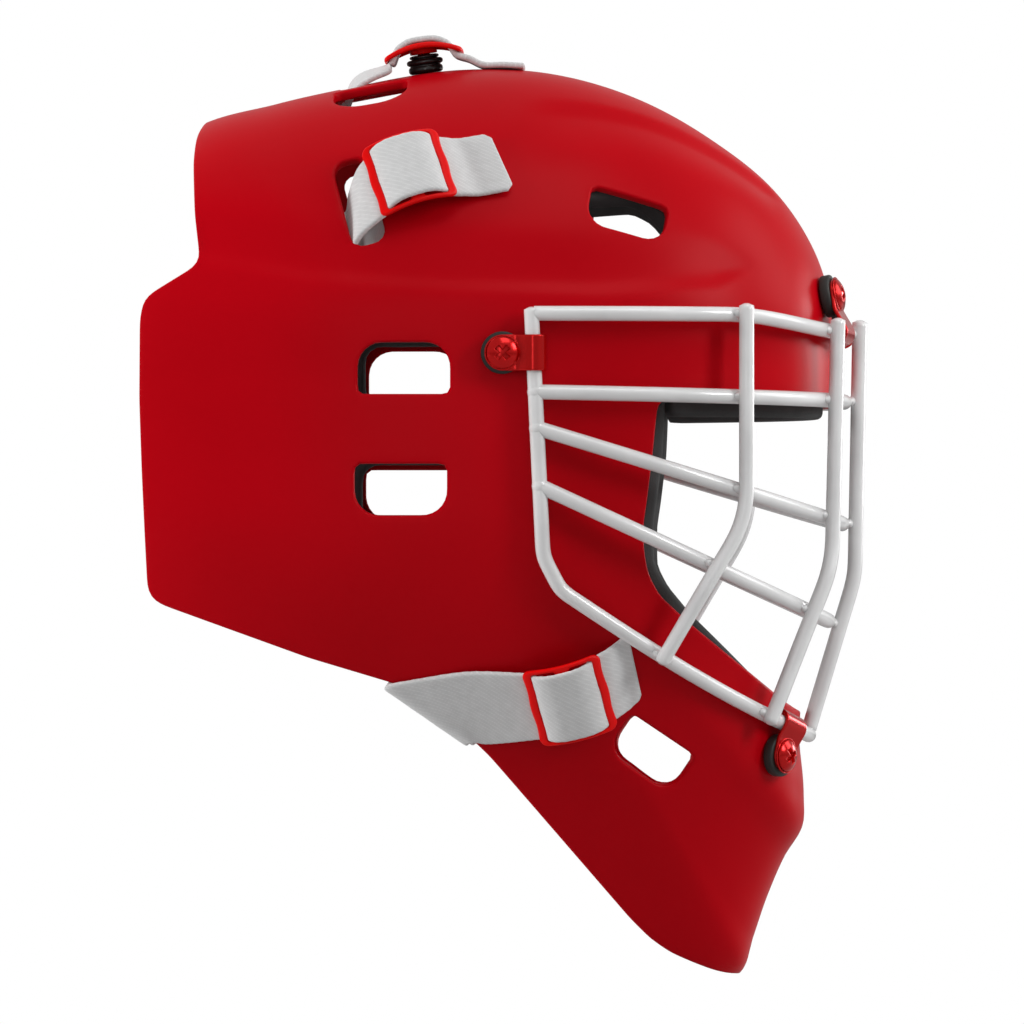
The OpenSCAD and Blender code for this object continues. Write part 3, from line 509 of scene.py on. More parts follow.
class Edge:
    """One rounded edge of a sheet: points on the skin, their normals, their ways out of the sheet, and
    where its inner side lies in the disc. It looks towards a centre, or away from it where way is -1."""

    def __init__(self, points, closed, centre, spacing, inset, way=1):
        self.closed = closed
        ends = [] if closed else [0, -1]
        self.p = resample(np.vstack([points, points[:1]]) if closed else points, spacing, closed)
        self.n = normals(self.p)
        self.p[ends, 1] = 0
        self.n[ends, 1] = 0
        self.n = unit(self.n)
        out = unit(np.cross(tangents(self.p, closed), self.n))
        out *= way * np.sign(np.sum(out * (centre - self.p)))
        out[ends, 1] = 0
        self.out = unit(out)
        self.disc = to_disc(self.p - inset * self.out)
        self.disc[ends] = unit(self.disc[ends])

    def strip(self, depths, rounds):
        """Rings of points round the edge, from the upper surface to the lower."""
        turns = np.radians(np.linspace(0, 90, EDGE_STEPS + 1))
        from_side, from_face = 1 - np.sin(turns), 1 - np.cos(turns)
        insets = list(rounds[0] * from_side) + list(rounds[1] * from_face)
        sunk = list(depths[0] + rounds[0] * from_face) + list(depths[1] - rounds[1] * from_side)
        return [self.p - inset * self.out - depth * self.n for inset, depth in zip(insets, sunk)]


def sheet_edges(outline, spacing, inset, way):
    """A sheet's edges along a side-view outline. They are open where it leaves the skin."""
    runs, whole = runs_inside(outline if turns_left(outline) else outline[::-1])
    centre = skin_point(*np.mean(np.vstack(runs), axis=0))
    return [Edge(raised(run), whole, centre, spacing, inset, way) for run in runs]


def rim_between(a, b):
    """Places on the rim of the disc, anticlockwise from one place on it to another, without the ends."""
    first, last = math.atan2(a[1], a[0]), math.atan2(b[1], b[0])
    past = (RIM_ANGLES - first) % (2 * math.pi)
    inside = (past > RIM_GAP) & (past < (last - first) % (2 * math.pi) - RIM_GAP)
    return [heading(v) for v in RIM_ANGLES[inside][np.argsort(past[inside])]]


def disc_loop(edges):
    """The closed loop in the disc along edges, and along its rim from each open one to the next."""
    if edges[0].closed:
        return edges[0].disc
    loop = []
    for edge, after in zip(edges, edges[1:] + edges[:1]):
        loop += list(edge.disc) + rim_between(edge.disc[-1], after.disc[0])
    return np.array(loop)


def disc_grid(spacing):
    """Places in the disc that lie about evenly on the skin: on its rim, and on rings round its middle."""
    t = np.linspace(0, 1, 400)
    far = lengths_along(from_disc(np.stack([t, 0 * t], -1)))
    rings = np.interp(np.arange(spacing, far[-1] - 0.4 * spacing, spacing), far, t)
    angles = np.append(RIM_ANGLES, 2 * math.pi)
    grid = [heading(a) for a in RIM_ANGLES]
    for k, r in enumerate(rings):
        along = lengths_along(from_disc(r * np.stack([np.cos(angles), np.sin(angles)], -1)))
        count = max(6, int(along[-1] / spacing))
        where = (np.arange(count) + 0.5 * (k % 2)) / count * along[-1]
        grid += [r * heading(a) for a in np.interp(where, along, angles)]
    return np.array(grid)


def no_relief(p):
    return np.zeros(len(p))


def edge_faces(edge, points, upper, base, rings):
    """Adds an edge's rings to the points, and returns the faces from the upper surface to the lower."""
    rows = [upper] + [added(points, ring) for ring in rings[1:-1]] + [[base + i for i in upper]]
    strip = quads(rows, edge.closed)
    middle = len(strip) // 2
    a, b, _, d = (points[i] for i in strip[middle])
    out = edge.out[middle % (len(upper) - (not edge.closed))]
    return strip if np.dot(np.cross(b - a, d - a), out) >= 0 else [f[::-1] for f in strip]


def sheet_part(outer, cuts, holes, depths, rounds, spacing, relief=no_relief):
    """Half a sheet cut from the skin, on the right side, with its points on the middle plane at y = 0.
    outer and cuts are side-view outlines and holes are loops of points on the skin. depths and rounds
    are how deep the upper and the lower surface lie, and the radii of their edges."""
    edges = sheet_edges(outer, spacing, rounds[0], -1)
    keep, gone = disc_loop(edges), []
    for cut in cuts:
        more = sheet_edges(cut, spacing, rounds[0], 1)
        edges += more
        gone.append(disc_loop(more))
    for hole in holes:
        edges.append(Edge(hole, True, np.mean(hole, axis=0), spacing, rounds[0]))
        gone.append(edges[-1].disc)
    fixed, starts, segments = chained([e.disc for e in edges], [e.closed for e in edges])
    grid = disc_grid(spacing)
    grid = grid[within(grid * RIM_NUDGE, keep, gone)]
    grid = grid[away_from(from_disc(fixed), from_disc(grid), GRID_CLEAR * spacing)]
    flat, tri, number = triangulated(fixed + list(grid), segments, keep, gone, 1e-7)
    skin = from_disc(flat)
    rim = np.hypot(flat[:, 0], flat[:, 1]) > ON_RIM
    skin[rim, 1] = 0
    out = normals(skin)
    out[rim, 1] = 0
    out = unit(out)
    base = len(skin)
    points = list(skin - (depths[0] + relief(skin))[:, None] * out) + list(skin - depths[1] * out)
    faces = upper_and_lower(tri, base)
    for edge, start in zip(edges, starts):
        rings, drop = edge.strip(depths, rounds), relief(edge.p)[:, None] * edge.n
        half = len(rings) // 2
        rings = [ring - max(0, 1 - k / half) * drop for k, ring in enumerate(rings)]
        faces += edge_faces(edge, points, [number[start + i] for i in range(len(edge.p))], base, rings)
    return points, faces


def vent_points(length, height):
    """A vent's outline: a flat top with small corners and a rounded bottom."""
    low = 0.48 * height
    return rounded_box(length, height, (VENT_CORNER, VENT_CORNER, low, low), 10)


def slot_points(width, length):
    return rounded_box(width, length, 0.36 * width, 10)


def placed(pts, at, turn=0, flip=False):
    a = math.radians(turn)
    p = pts * (1, -1) if flip else pts
    return np.stack([at[0] + p[:, 0] * math.cos(a) - p[:, 1] * math.sin(a),
                     at[1] + p[:, 0] * math.sin(a) + p[:, 1] * math.cos(a)], axis=-1)


def loop_through(pts):
    """A side-view outline as points on the right side's skin."""
    return np.array([skin_point(x, z) for x, z in dense(pts)])


def seat(o, n, along):
    """The axes of a piece that sits on a point: along, across, out."""
    z = unit(np.asarray(n, float))
    x = np.asarray(along, float)
    x = unit(x - np.dot(x, z) * z)
    return np.asarray(o, float), x, np.cross(z, x), z


# How far below and above a seat the skin is looked for
SEEK = (-25.0, 12.0)


def loop_along(pts, place):
    """An outline drawn on a seat, carried along the seat's normal to the skin."""
    o, x, y, z = place
    out = []
    for u, v in dense(pts):
        base = o + u * x + v * y
        out.append(base + last_inside(lambda h: implicit(base + h * z) <= 0, *SEEK) * z)
    return np.array(out)


def crown_z(x, side=0.0):
    """Height of the skin over a place in the view from above."""
    z = 140.0
    for _ in range(12):
        r = float(radius(math.degrees(math.atan2(z, x))))
        z = math.sqrt((r * (1 - (side / float(half_width(z))) ** FULLNESS) ** (1 / FULLNESS)) ** 2 - x * x)
    return z


def crown_frame(x, lift=0.0):
    slope = (crown_z(x + 1) - crown_z(x - 1)) / 2
    n = unit(np.array([-slope, 0, 1.0]))
    return np.array([x, 0, crown_z(x)]) + lift * n, n


# Places of the vents and slots, and how far they are turned
EAR_1, EAR_2 = (-21.6, 32), (-22.8, -16.4)
JAW, JAW_TURN = (76.6, -121.6), -34
TEMPLE, TEMPLE_TURN = (67.5, 94), -9
SLOT, SLOT_TURN = (-39.6, 98.8), 15
CROWN = (-36.5, 34.5)
TOP_SLOT_X = -44


def side_seat(x, z):
    p = on_skin(x, z)
    return seat(p, normals(p), (1, 0, 0))


def crown_seat():
    p = np.array([CROWN[0], -CROWN[1], crown_z(*CROWN)])
    return seat(p, normals(p), (1, 0, 0))


def vent_loops():
    ear = vent_points(*EAR_VENT)
    return [
        loop_through(placed(ear, EAR_1, flip=True)),
        loop_through(placed(ear, EAR_2)),
        loop_through(placed(vent_points(*JAW_VENT), JAW, JAW_TURN)),
        loop_through(placed(slot_points(*SIDE_SLOT), SLOT, SLOT_TURN)),
        loop_along(placed(vent_points(*TEMPLE_VENT), (0, 0), TEMPLE_TURN), side_seat(*TEMPLE)),
        loop_along(vent_points(*CROWN_VENT), crown_seat()),
    ]


# The moulded relief: a crest over the crown, and a shoulder that ends in a blade at the temple
CREST = spline([(28, 57), (58, 47.5), (81, 39), (101, 31), (116, 24.5), (124, 19)], 3)
CREST_DEPTH = 2.2
SHOULDER = np.array([(-104, 74), (-60, 66), (0, 62), (56, 60.5), (102.8, 64), (124, 73)])
SHOULDER_DEPTH = 1.4
BLADE_TIP, BLADE_WAY = (124, 74), (-0.861, 0.509)


def crest_relief(p):
    x, y = p[:, 0], np.abs(p[:, 1])
    half = np.interp(x, CREST[:, 0], CREST[:, 1])
    beyond = y - half
    fade = smooth((x - CREST[0, 0] + 6) / 22) * smooth((CREST[-1, 0] + 6 - x) / 8)
    return CREST_DEPTH * smooth((beyond + 5) / 10) * (1 - smooth(beyond / 26)) * fade * (p[:, 2] > 60)


def shoulder_relief(p):
    x, z = p[:, 0], p[:, 2]
    above = z - np.interp(x, SHOULDER[:, 0], SHOULDER[:, 1])
    behind = (x - BLADE_TIP[0]) * -BLADE_WAY[1] + (z - BLADE_TIP[1]) * BLADE_WAY[0]
    ends = smooth((x + 112) / 14) * smooth(behind / 12)
    return SHOULDER_DEPTH * smooth((above + 1) / 8) * (1 - smooth((above - 8) / 20)) * ends


def shell_relief(p):
    return crest_relief(p) + shoulder_relief(p)


SHELL_SPACING = 2.4
SHELL_ROUNDS = (1.2, 1.0)


def top_slot_cut():
    """The slot over the crown's middle, as its outline in the side view."""
    w, l = TOP_SLOT
    rear, front = TOP_SLOT_X - w / 2, TOP_SLOT_X + w / 2
    return [(rear, crown_z(rear, l / 2)), (front, crown_z(front, l / 2)), (front, 200), (rear, 200)]


def make_shell():
    cuts = [softened(EYE, 24), softened(top_slot_cut(), 2)]
    part = sheet_part(softened(TRIM, 30), cuts, vent_loops(), (0, WALL), SHELL_ROUNDS, SHELL_SPACING,
                      shell_relief)
    shell = mesh_object("shell_moulding", both_sides(part), SHEET_MERGE)
    dress(shell, RED, "shell_plastic", "mask", "shell")


# Tubes, bands and turned parts
END_DOME = 0.48
END_ANGLES = np.radians([20, 55])


def ring(centre, x, y, r, sides):
    turns = [2 * math.pi * k / sides for k in range(sides)]
    return [centre + r * (math.cos(a) * x + math.sin(a) * y) for a in turns]


def ringed_part(rings):
    """A part through rings of points, closed at both ends."""
    points = []
    rows = [added(points, q) for q in rings]
    return points, quads(rows) + [rows[0][::-1], rows[-1]]


def tube_part(path, r, sides=16):
    """A round wire along a path, with domed ends."""
    tans = tangents(path)
    n = np.array([0.0, 0.0, 1.0]) if abs(tans[0][2]) < 0.9 else np.array([1.0, 0.0, 0.0])
    middle = []
    for p, t in zip(path, tans):
        n = unit(n - np.dot(n, t) * t)
        middle.append((p, n, np.cross(t, n), r))

    def dome(end, way):
        p, x, y, _ = middle[end]
        out = way * END_DOME * r * tans[end]
        return [(p + (1 - math.sin(a)) * out, x, y, r * math.sin(a)) for a in END_ANGLES]
    return ringed_part([ring(*q, sides) for q in dome(0, -1) + middle + dome(-1, 1)[::-1]])


def bead_part(centre, axis, r, length):
    """A weld bead: a small rounded lump, longest along an axis."""
    z = unit(np.asarray(axis, float))
    x = unit(np.cross(z, [0.31, 0.5, 0.81]))
    y = np.cross(z, x)
    rows, cols = 8, 12
    turns = [math.pi * (i + 0.02) / (rows + 0.04) for i in range(rows + 1)]
    middles = [centre + math.cos(a) * length / 2 * z for a in turns]
    return ringed_part([ring(p, x, y, r * math.sin(a), cols) for p, a in zip(middles, turns)])


def lathe_part(profile, place, sides=48):
    """A turned part from (radius, height) pairs about a seat's outward axis, closed at both ends."""
    o, x, y, z = place
    return ringed_part([ring(o + h * z, x, y, max(r, 0.01), sides) for r, h in profile])


def inside_of(loop, d):
    """A closed outline moved to its left by d."""
    t = tangents(loop, True)
    return loop + d * np.stack([-t[:, 1], t[:, 0]], -1)


BEVEL_ANGLES = np.radians([30, 60, 90])


def plate_part(outer, holes, place, thick, bevel, spacing, grid=None):
    """A flat shape of even thickness with rounded edges. place(u, v, h) bends it into its form."""
    loops = []
    for loop, left in [(outer, True)] + [(hole, False) for hole in holes]:
        loop = np.asarray(loop, float)
        loop = loop if turns_left(loop) == left else loop[::-1]
        loops.append(resample(np.vstack([loop, loop[:1]]), spacing, True))
    inner = [inside_of(loop, bevel) for loop in loops]
    edge, starts, segments = chained(inner, [True] * len(inner))
    step = grid or spacing
    lo, hi = inner[0].min(0) + step / 2, inner[0].max(0)
    more = np.array([(u, v) for u in np.arange(lo[0], hi[0], step) for v in np.arange(lo[1], hi[1], step)])
    more = more[within(more, inner[0], inner[1:])]
    more = more[away_from(np.array(edge), more, 0.5 * step)]
    flat, tri, number = triangulated(edge + list(more), segments, inner[0], inner[1:], 1e-6)

    def bent(q, h):
        return list(place(q[:, 0], q[:, 1], np.full(len(q), h)))
    base = len(flat)
    points, uv = bent(flat, thick / 2) + bent(flat, -thick / 2), list(flat) * 2
    faces = upper_and_lower(tri, base)
    for loop, start in zip(loops, starts):
        rings = [(inside_of(loop, bevel * (1 - math.sin(a))), thick / 2 - bevel * (1 - math.cos(a)))
                 for a in BEVEL_ANGLES]
        rings += [(q, -h) for q, h in reversed(rings)]
        upper = [number[start + i] for i in range(len(loop))]
        rows = [upper] + [added(points, bent(q, h)) for q, h in rings] + [[base + i for i in upper]]
        uv += [p for q, _ in rings for p in q]
        faces += quads(rows[::-1])
    return points, faces, [(u * MM, v * MM) for u, v in uv]


class Ribbon:
    """The middle surface of a strap, from stations that give its two edges and its outward way."""

    def __init__(self, stations):
        fine = spline([np.concatenate(s) for s in stations], 0.8)
        self.a, self.b = fine[:, :3], fine[:, 3:6]
        self.middle = (self.a + self.b) / 2
        out = unit(np.cross(tangents(self.middle), unit(self.a - self.b)))
        self.out = -out if np.sum(out * fine[:, 6:]) < 0 else out
        self.far = lengths_along(self.middle)

    def place(self, u, v, h):
        def at(rows):
            return np.stack([np.interp(u, self.far, rows[:, k]) for k in range(3)], -1)
        return mix(at(self.b), at(self.a), (v / STRAP_W + 0.5)[:, None]) + h[:, None] * at(self.out)


def strap_part(ribbon, start=0.0, end=None, cut=0.0):
    """A strap along a ribbon, with the fine ripple of woven elastic. cut is the size of its far end's
    cut corners."""
    end = ribbon.far[-1] if end is None else end
    w = STRAP_SHOWN_W / 2
    outline = [(start, -w), (end - cut, -w), (end, cut - w), (end, w - cut), (end - cut, w), (start, w)]
    outline = [q for i, q in enumerate(outline) if cut or i not in (2, 3)]

    def place(u, v, h):
        ripple = 0.16 * np.sin(u * 2.1 + 3 * np.sin(v * 0.35)) + 0.12 * np.sin(v * 1.3 + u * 0.6)
        return ribbon.place(u, v * (1 + 0.004 * np.sin(u * 1.7)), h + 0.2 * ripple * (np.abs(v) < w - 1.5))
    return plate_part(outline, [], place, STRAP_T, 1.0, 1.1, grid=1.5)


# Stations of straps: the two edges of a strap and its outward way
def squared(centres, outs):
    """Stations square to a line of centres."""
    centres = [np.asarray(c, float) for c in centres]
    stations = []
    for c, o, t in zip(centres, outs, tangents(centres)):
        h = unit(np.cross(np.asarray(o, float), t)) * STRAP_W / 2
        stations.append((c + h, c - h, np.cross(t, h) / (STRAP_W / 2)))
    return stations


def by_stud(f, along, high):
    return f[0] + along * f[1] + high * f[3]


def arch(k):
    return STUD_H + BUCKLE_T / 2 - ARCH_DROP * (2 * k / BUCKLE_L) ** 2


# The strap's way through a buckle from behind it to its middle, as places along it and above its seat
UNDER_RIM = 0.5 * BUCKLE_L - 2.4
INSIDE_RIM = 0.5 * BUCKLE_L - BUCKLE_RIM
BELOW_ARCH = -BUCKLE_T / 2 - STRAP_T / 2
OVER_BAR = STUD_H + BUCKLE_T + STRAP_T / 2
THROUGH = [
    (-UNDER_RIM, arch(UNDER_RIM) + BELOW_ARCH - 0.5),
    (-INSIDE_RIM, arch(INSIDE_RIM) + BELOW_ARCH + 0.1),
    (-0.33 * BUCKLE_L, arch(0.33 * BUCKLE_L) + 0.9),
    (-0.27 * BUCKLE_L, arch(0.27 * BUCKLE_L) + BUCKLE_T / 2 + 0.8),
    (-0.5 * CENTRE_BAR - 2, OVER_BAR - 0.1),
    (0, OVER_BAR + 0.2),
]
TAIL_WAY = THROUGH + [(-k, h) for k, h in THROUGH[4::-1]] + [(0.5 * BUCKLE_L + 2, THROUGH[0][1] - 2)]
TAIL_FROM = 0.5 * BUCKLE_L + 7
STRAP_BREAK = 0.12
STRAP_END = (-UNDER_RIM - STRAP_BREAK, THROUGH[0][1])


def stud_seat(stud, slope):
    low = on_skin(stud[0] - 1, stud[1] - slope)
    high = on_skin(stud[0] + 1, stud[1] + slope)
    p = on_skin(*stud)
    return seat(p, normals(p), high - low)


UPPER_STUD, UPPER_TAIL, UPPER_SKEW = (-18.8, 106), (16.4, 116.2), -3
LOWER_STUD, LOWER_TAIL, LOWER_SKEW = (44, -97), (71, -89.6), 4.5
TOP_STUD_X, TOP_TAIL_X = -14.5, 25
UPPER = stud_seat(UPPER_STUD, 0.3)
LOWER = stud_seat(LOWER_STUD, 0.25)
TOP = seat(*crown_frame(TOP_STUD_X), (1, 0, 0))


def flipped(v):
    return np.asarray(v, float) * (1, -1, 1)


def on_left(stations):
    return [(flipped(b), flipped(a), flipped(o)) for a, b, o in stations]


def shifted(stations, f, moves):
    """Stations with their two edges moved: along, up the strap's width and outward on a seat."""
    out = [list(q) for q in stations]
    for i, (a_move, b_move) in moves.items():
        for edge, move in ((0, a_move), (1, b_move)):
            out[i][edge] = out[i][edge] + sum(k * axis for k, axis in zip(move, f[1:]))
    return [tuple(q) for q in out]


def side_tail(f, stud, tail, skew):
    stud, tail = np.array(stud, float), np.array(tail, float)
    span = np.linalg.norm(tail - stud)
    way = (tail - stud) / span
    start = min(TAIL_FROM, span - 4)
    lying = [stud + k * way for k in (start, mix(start, span, 0.5), span)]
    centres = [by_stud(f, *q) for q in TAIL_WAY] + [on_skin(q[0], q[1], LIE) for q in lying]
    outs = [f[3]] * len(TAIL_WAY) + [normals(on_skin(*q)) for q in lying]
    stations = squared(centres, outs)
    last = len(stations) - 1
    sideways = {last - i: [(0, skew * k, 0)] * 2 for i, k in enumerate((1, 0.75, 0.4, 0.15))}
    return shifted(stations, f, sideways)


def top_tail():
    lying = [TOP_STUD_X + TAIL_FROM, mix(TOP_STUD_X + TAIL_FROM, TOP_TAIL_X, 0.5), TOP_TAIL_X]
    centres = [by_stud(TOP, *q) for q in TAIL_WAY] + [crown_frame(x, LIE)[0] for x in lying]
    outs = [TOP[3]] * len(TAIL_WAY) + [crown_frame(x)[1] for x in lying]
    return squared(centres, outs)


# The back plate and the straps' way from it
PLATE_R = 75
PLATE_BACK = -114
PLATE_MID_Z = -2
PLATE_H = 112
PLATE_HALF_W = 56
PLATE_T = 3
PLATE_AXIS = PLATE_BACK + PLATE_R
PLATE_TURN = math.degrees(PLATE_HALF_W / PLATE_R)
PLATE_PAD_T = 8
PLATE_PAD_TURN = PLATE_TURN - 8
PLATE_PAD_H = PLATE_H - 22
ANCHOR_TURN, ANCHOR_Z, ANCHOR_L = 33, 36, 16
LEAD_TURN = ANCHOR_TURN + 14


def on_plate(turn, z, lift):
    a, r = math.radians(turn), PLATE_R + lift
    return np.array([PLATE_AXIS - r * math.cos(a), -r * math.sin(a), PLATE_MID_Z + z])


def plate_out(turn):
    a = math.radians(turn)
    return np.array([-math.cos(a), -math.sin(a), 0.0])


def lead_from_plate(heights, last, last_out):
    """Centres and outward ways of a side strap from its anchor to its first free point."""
    turns = [LEAD_TURN + k for k in (0, 6, 15)]
    centres = [on_plate(turn, z, LIE) for turn, z in zip(turns, heights)] + [last]
    return centres, [plate_out(turn) for turn in turns] + [last_out]


def upper_strap():
    """The upper strap's stations, and how many of them belong to the part inside the shell."""
    f, gap = UPPER, math.dist(UPPER_STUD, SLOT)
    through = [(-gap - 10, -WALL - 4.2), (-gap - 4.5, -WALL - 2.4), (-gap, -1.2), (-gap + 3, 2), STRAP_END]
    heights = (ANCHOR_Z, ANCHOR_Z + 1, ANCHOR_Z + 9)
    centres, outs = lead_from_plate(heights, (-68, -80, 74), (-0.2, -0.9, 0.3))
    centres += [by_stud(f, *q) for q in through]
    dive = {4: ((0, -14, -4), (-3, -7, -1)), 5: ((-1, -12, -4), (-4, -5, 0)),
            6: ((-2, -8, -2.5), (-4.5, -3, 0.3)), 7: ((0, -2.5, -0.6), (-2, -1.5, 0.3))}
    return shifted(squared(centres, outs + [f[3]] * 5), f, dive), 5


def lower_strap():
    """The lower strap's stations: from the plate, folded up round the shell's edge, and on to its stud."""
    f = LOWER
    heights = (-ANCHOR_Z, -ANCHOR_Z - 0.5, -ANCHOR_Z - 4)
    lead = squared(*lead_from_plate(heights, (-64, -76, -60), (-0.2, -0.95, -0.2)))
    rise = (np.array([-36, -80, -77.0]), np.array([-7, -77, -97.0]), np.array([-0.1, -1, -0.1]))
    top, low, out = np.array([-27.6, -94.5]), np.array([4, -116.5]), np.array([-0.6, -0.8])
    fold = []
    for back, lift in ((1.5, -WALL - LIE), (-STRAP_T / 2 - 0.7, -WALL / 2), (1, LIE)):
        a, b = top - back * out, low - back * out
        way = np.array([out[0], 0, out[1]]) if back < 0 else normals(on_skin(*(a + b) / 2))
        fold.append((on_skin(*a, lift), on_skin(*b, lift), way))
    for upper, lower, lift in (((-13, -91.2), (10, -116.2), LIE), ((4, -88.4), (18, -115.2), LIE + 1.2)):
        way = normals(on_skin(*np.add(upper, lower) / 2))
        fold.append((on_skin(*upper, lift), on_skin(*lower, lift), way))
    end = squared([by_stud(f, *STRAP_END), by_stud(f, -UNDER_RIM, STRAP_END[1])], [f[3]] * 2)[0]
    return lead + [rise] + fold + [end], 5


def top_strap():
    f, gap = TOP, TOP_STUD_X - TOP_SLOT_X
    climb = [(-105, 68), (-97, 82), (-88, 104), (-74, 122), (-60, 133)]
    through = [(-gap - 4, -WALL - 4), (-gap, -1.4), (-gap + 4, 1.8), (-gap + 9, 3.4), STRAP_END]
    centres = [on_plate(0, PLATE_H / 2 + 1.2, LIE)] + [(x, 0, z) for x, z in climb]
    centres += [by_stud(f, *q) for q in through]
    outs = [plate_out(0)] + [(-1, 0, 0.2 + 0.4 * i) for i in range(len(climb))] + [f[3]] * 5
    twist = {7: ((-2, 0, 0), (2, 0, -0.5)), 8: ((-3.5, 0, 0), (4.5, 0, -1)), 9: ((-4, 0, 0.5), (6, 0, -0.8))}
    return shifted(squared(centres, outs), f, twist), 6


# The cage
WIRE_STEP = 1.5
BEAD_R, BEAD_L = 2.1, WIRE_D + 3.4
END_BEAD_R, END_BEAD_L = WIRE_D / 2 + 0.25, WIRE_D + 1.5


def cage_front(z):
    low = CAGE_REACH - CAGE_FLAT_DROP
    if z > CAGE_LOW_Z:
        return CAGE_REACH - CAGE_FLAT_DROP * (CAGE_TOP_Z - z) / (CAGE_TOP_Z - CAGE_LOW_Z)
    return mix(low, CAGE_CHIN[0] - WIRE_D + WELD, (CAGE_LOW_Z - z) / (CAGE_LOW_Z - CAGE_CHIN[1]))


def cage_half(z):
    return float(skin_y(CAGE_REAR_X, z)) + WIRE_GAP + WIRE_D / 2


def cage_y(x, z, lift=0.0):
    u = (x - CAGE_REAR_X) / (cage_front(z) + lift - CAGE_REAR_X)
    return (cage_half(z) + lift) * max(0, 1 - max(0, u) ** CAGE_FULLNESS) ** (1 / CAGE_FULLNESS)


def frame_top_z(x):
    return CAGE_TOP_Z - FRAME_BROW_DROP * float(smooth((x - 0.7 * CAGE_REACH) / (0.35 * CAGE_REACH)))


def frame_bottom_z(x):
    u = (x - FRAME_HEEL[0]) / (CAGE_CHIN[0] - FRAME_HEEL[0])
    return mix(FRAME_HEEL[1], CAGE_CHIN[1], 0.25 * math.sin(math.pi / 2 * u) + 0.75 * u)


def frame_rear_x(z):
    return mix(CAGE_REAR_X - 0.6, FRAME_HEEL[0], (CAGE_TOP_Z - z) / (CAGE_TOP_Z - FRAME_HEEL[1]))


def bottom_wire_at(t):
    a = -math.pi / 4
    for _ in range(14):
        q = from_disc(t * heading(a))
        p = q + (WIRE_D / 2 + mix(WIRE_GAP, CHIN_GAP, t)) * normals(q)
        a += math.atan2(frame_bottom_z(p[0]), p[0]) - math.atan2(p[2], p[0])
    return p


def mirrored_run(path):
    """A path from the right side to the middle, carried on to the left side."""
    return np.vstack([path, [(q[0], -q[1], q[2]) for q in path[-2::-1]]])


def frame_paths():
    """The perimeter's two wires: the top one, and the one down the rear and round under the chin."""
    top = []
    for k in range(45):
        f = math.radians(89.9 * (1 - k / 44))
        x = mix(CAGE_REAR_X, cage_front(CAGE_TOP_Z), math.cos(f) ** (2 / CAGE_FULLNESS))
        top.append((x, -cage_half(CAGE_TOP_Z) * math.sin(f) ** (2 / CAGE_FULLNESS), frame_top_z(x)))
    low = []
    for z in np.linspace(CAGE_TOP_Z + WIRE_D / 2 - 1.4, FRAME_HEEL[1] + 9, 14):
        x = frame_rear_x(z)
        low.append((x, -float(skin_y(x, z)) - WIRE_GAP - WIRE_D / 2, z))
    low += [bottom_wire_at(t) for t in np.linspace(0.17, 1, 34)]
    return [eased(resample(mirrored_run(path), WIRE_STEP), 4) for path in (top, low)]


def bar_path(rear_z, front_z):
    x0, front = frame_rear_x(rear_z), cage_front(front_z)
    path = []
    for f in np.linspace(-math.pi / 2, math.pi / 2, 81):
        x = mix(x0, front, max(0, math.cos(f)) ** (2 / CAGE_FULLNESS))
        z = mix(rear_z, front_z, (x - x0) / (front - x0))
        path.append((x, cage_half(z) * math.copysign(abs(math.sin(f)) ** (2 / CAGE_FULLNESS), f), z))
    return eased(resample(path, WIRE_STEP), 2)


def upright_path(points, reach):
    bends = [np.array(points[0], float)]
    for before, p, after in zip(points[:-2], points[1:-1], points[2:]):
        p = np.array(p, float)
        a, b = p + reach * unit(before - p), p + reach * unit(after - p)
        bends += [(1 - u) ** 2 * a + 2 * u * (1 - u) * p + u**2 * b for u in np.linspace(0, 1, 9)]
    outside = WIRE_D - WELD
    path = [(q[0], -cage_y(q[0], q[1], outside), q[1]) for q in bends]
    path.append(lifted_to(points[-1][0], points[-1][1], WIRE_D / 2 + WIRE_GAP + outside))
    return eased(resample(path, WIRE_STEP), 5)


def centre_path():
    path = [(cage_front(z) + WIRE_D - WELD, 0, z) for z in (52, 20, -20, -44, -48, -53)]
    path.append((CAGE_CHIN[0], 0, CAGE_CHIN[1] + WIRE_D / 2 - WELD))
    return eased(resample(path, WIRE_STEP), 6)


def beads(upright, others):
    """Weld beads where an upright wire touches others."""
    found = []
    for other in others:
        gaps = np.linalg.norm(upright[:, None] - other[None], axis=2)
        i, j = np.unravel_index(np.argmin(gaps), gaps.shape)
        if gaps[i, j] < WIRE_D + 1:
            middle = (upright[i] + other[j]) / 2
            ahead = tangents(other)[j]
            found.append(bead_part(middle, ahead, BEAD_R, BEAD_L))
    return found


SIDE_BAR = [(114.8, 57), (114.8, 22), (114.8, -28), (98, -56), (81, -85)]
INNER_BAR = [(151.2, 52), (150.4, 20), (148.8, -46), (136, -78), (124, -109)]
BARS = {"brow": (22.4, 20), "middle": (8, -29), "lower": (-15, -68)}


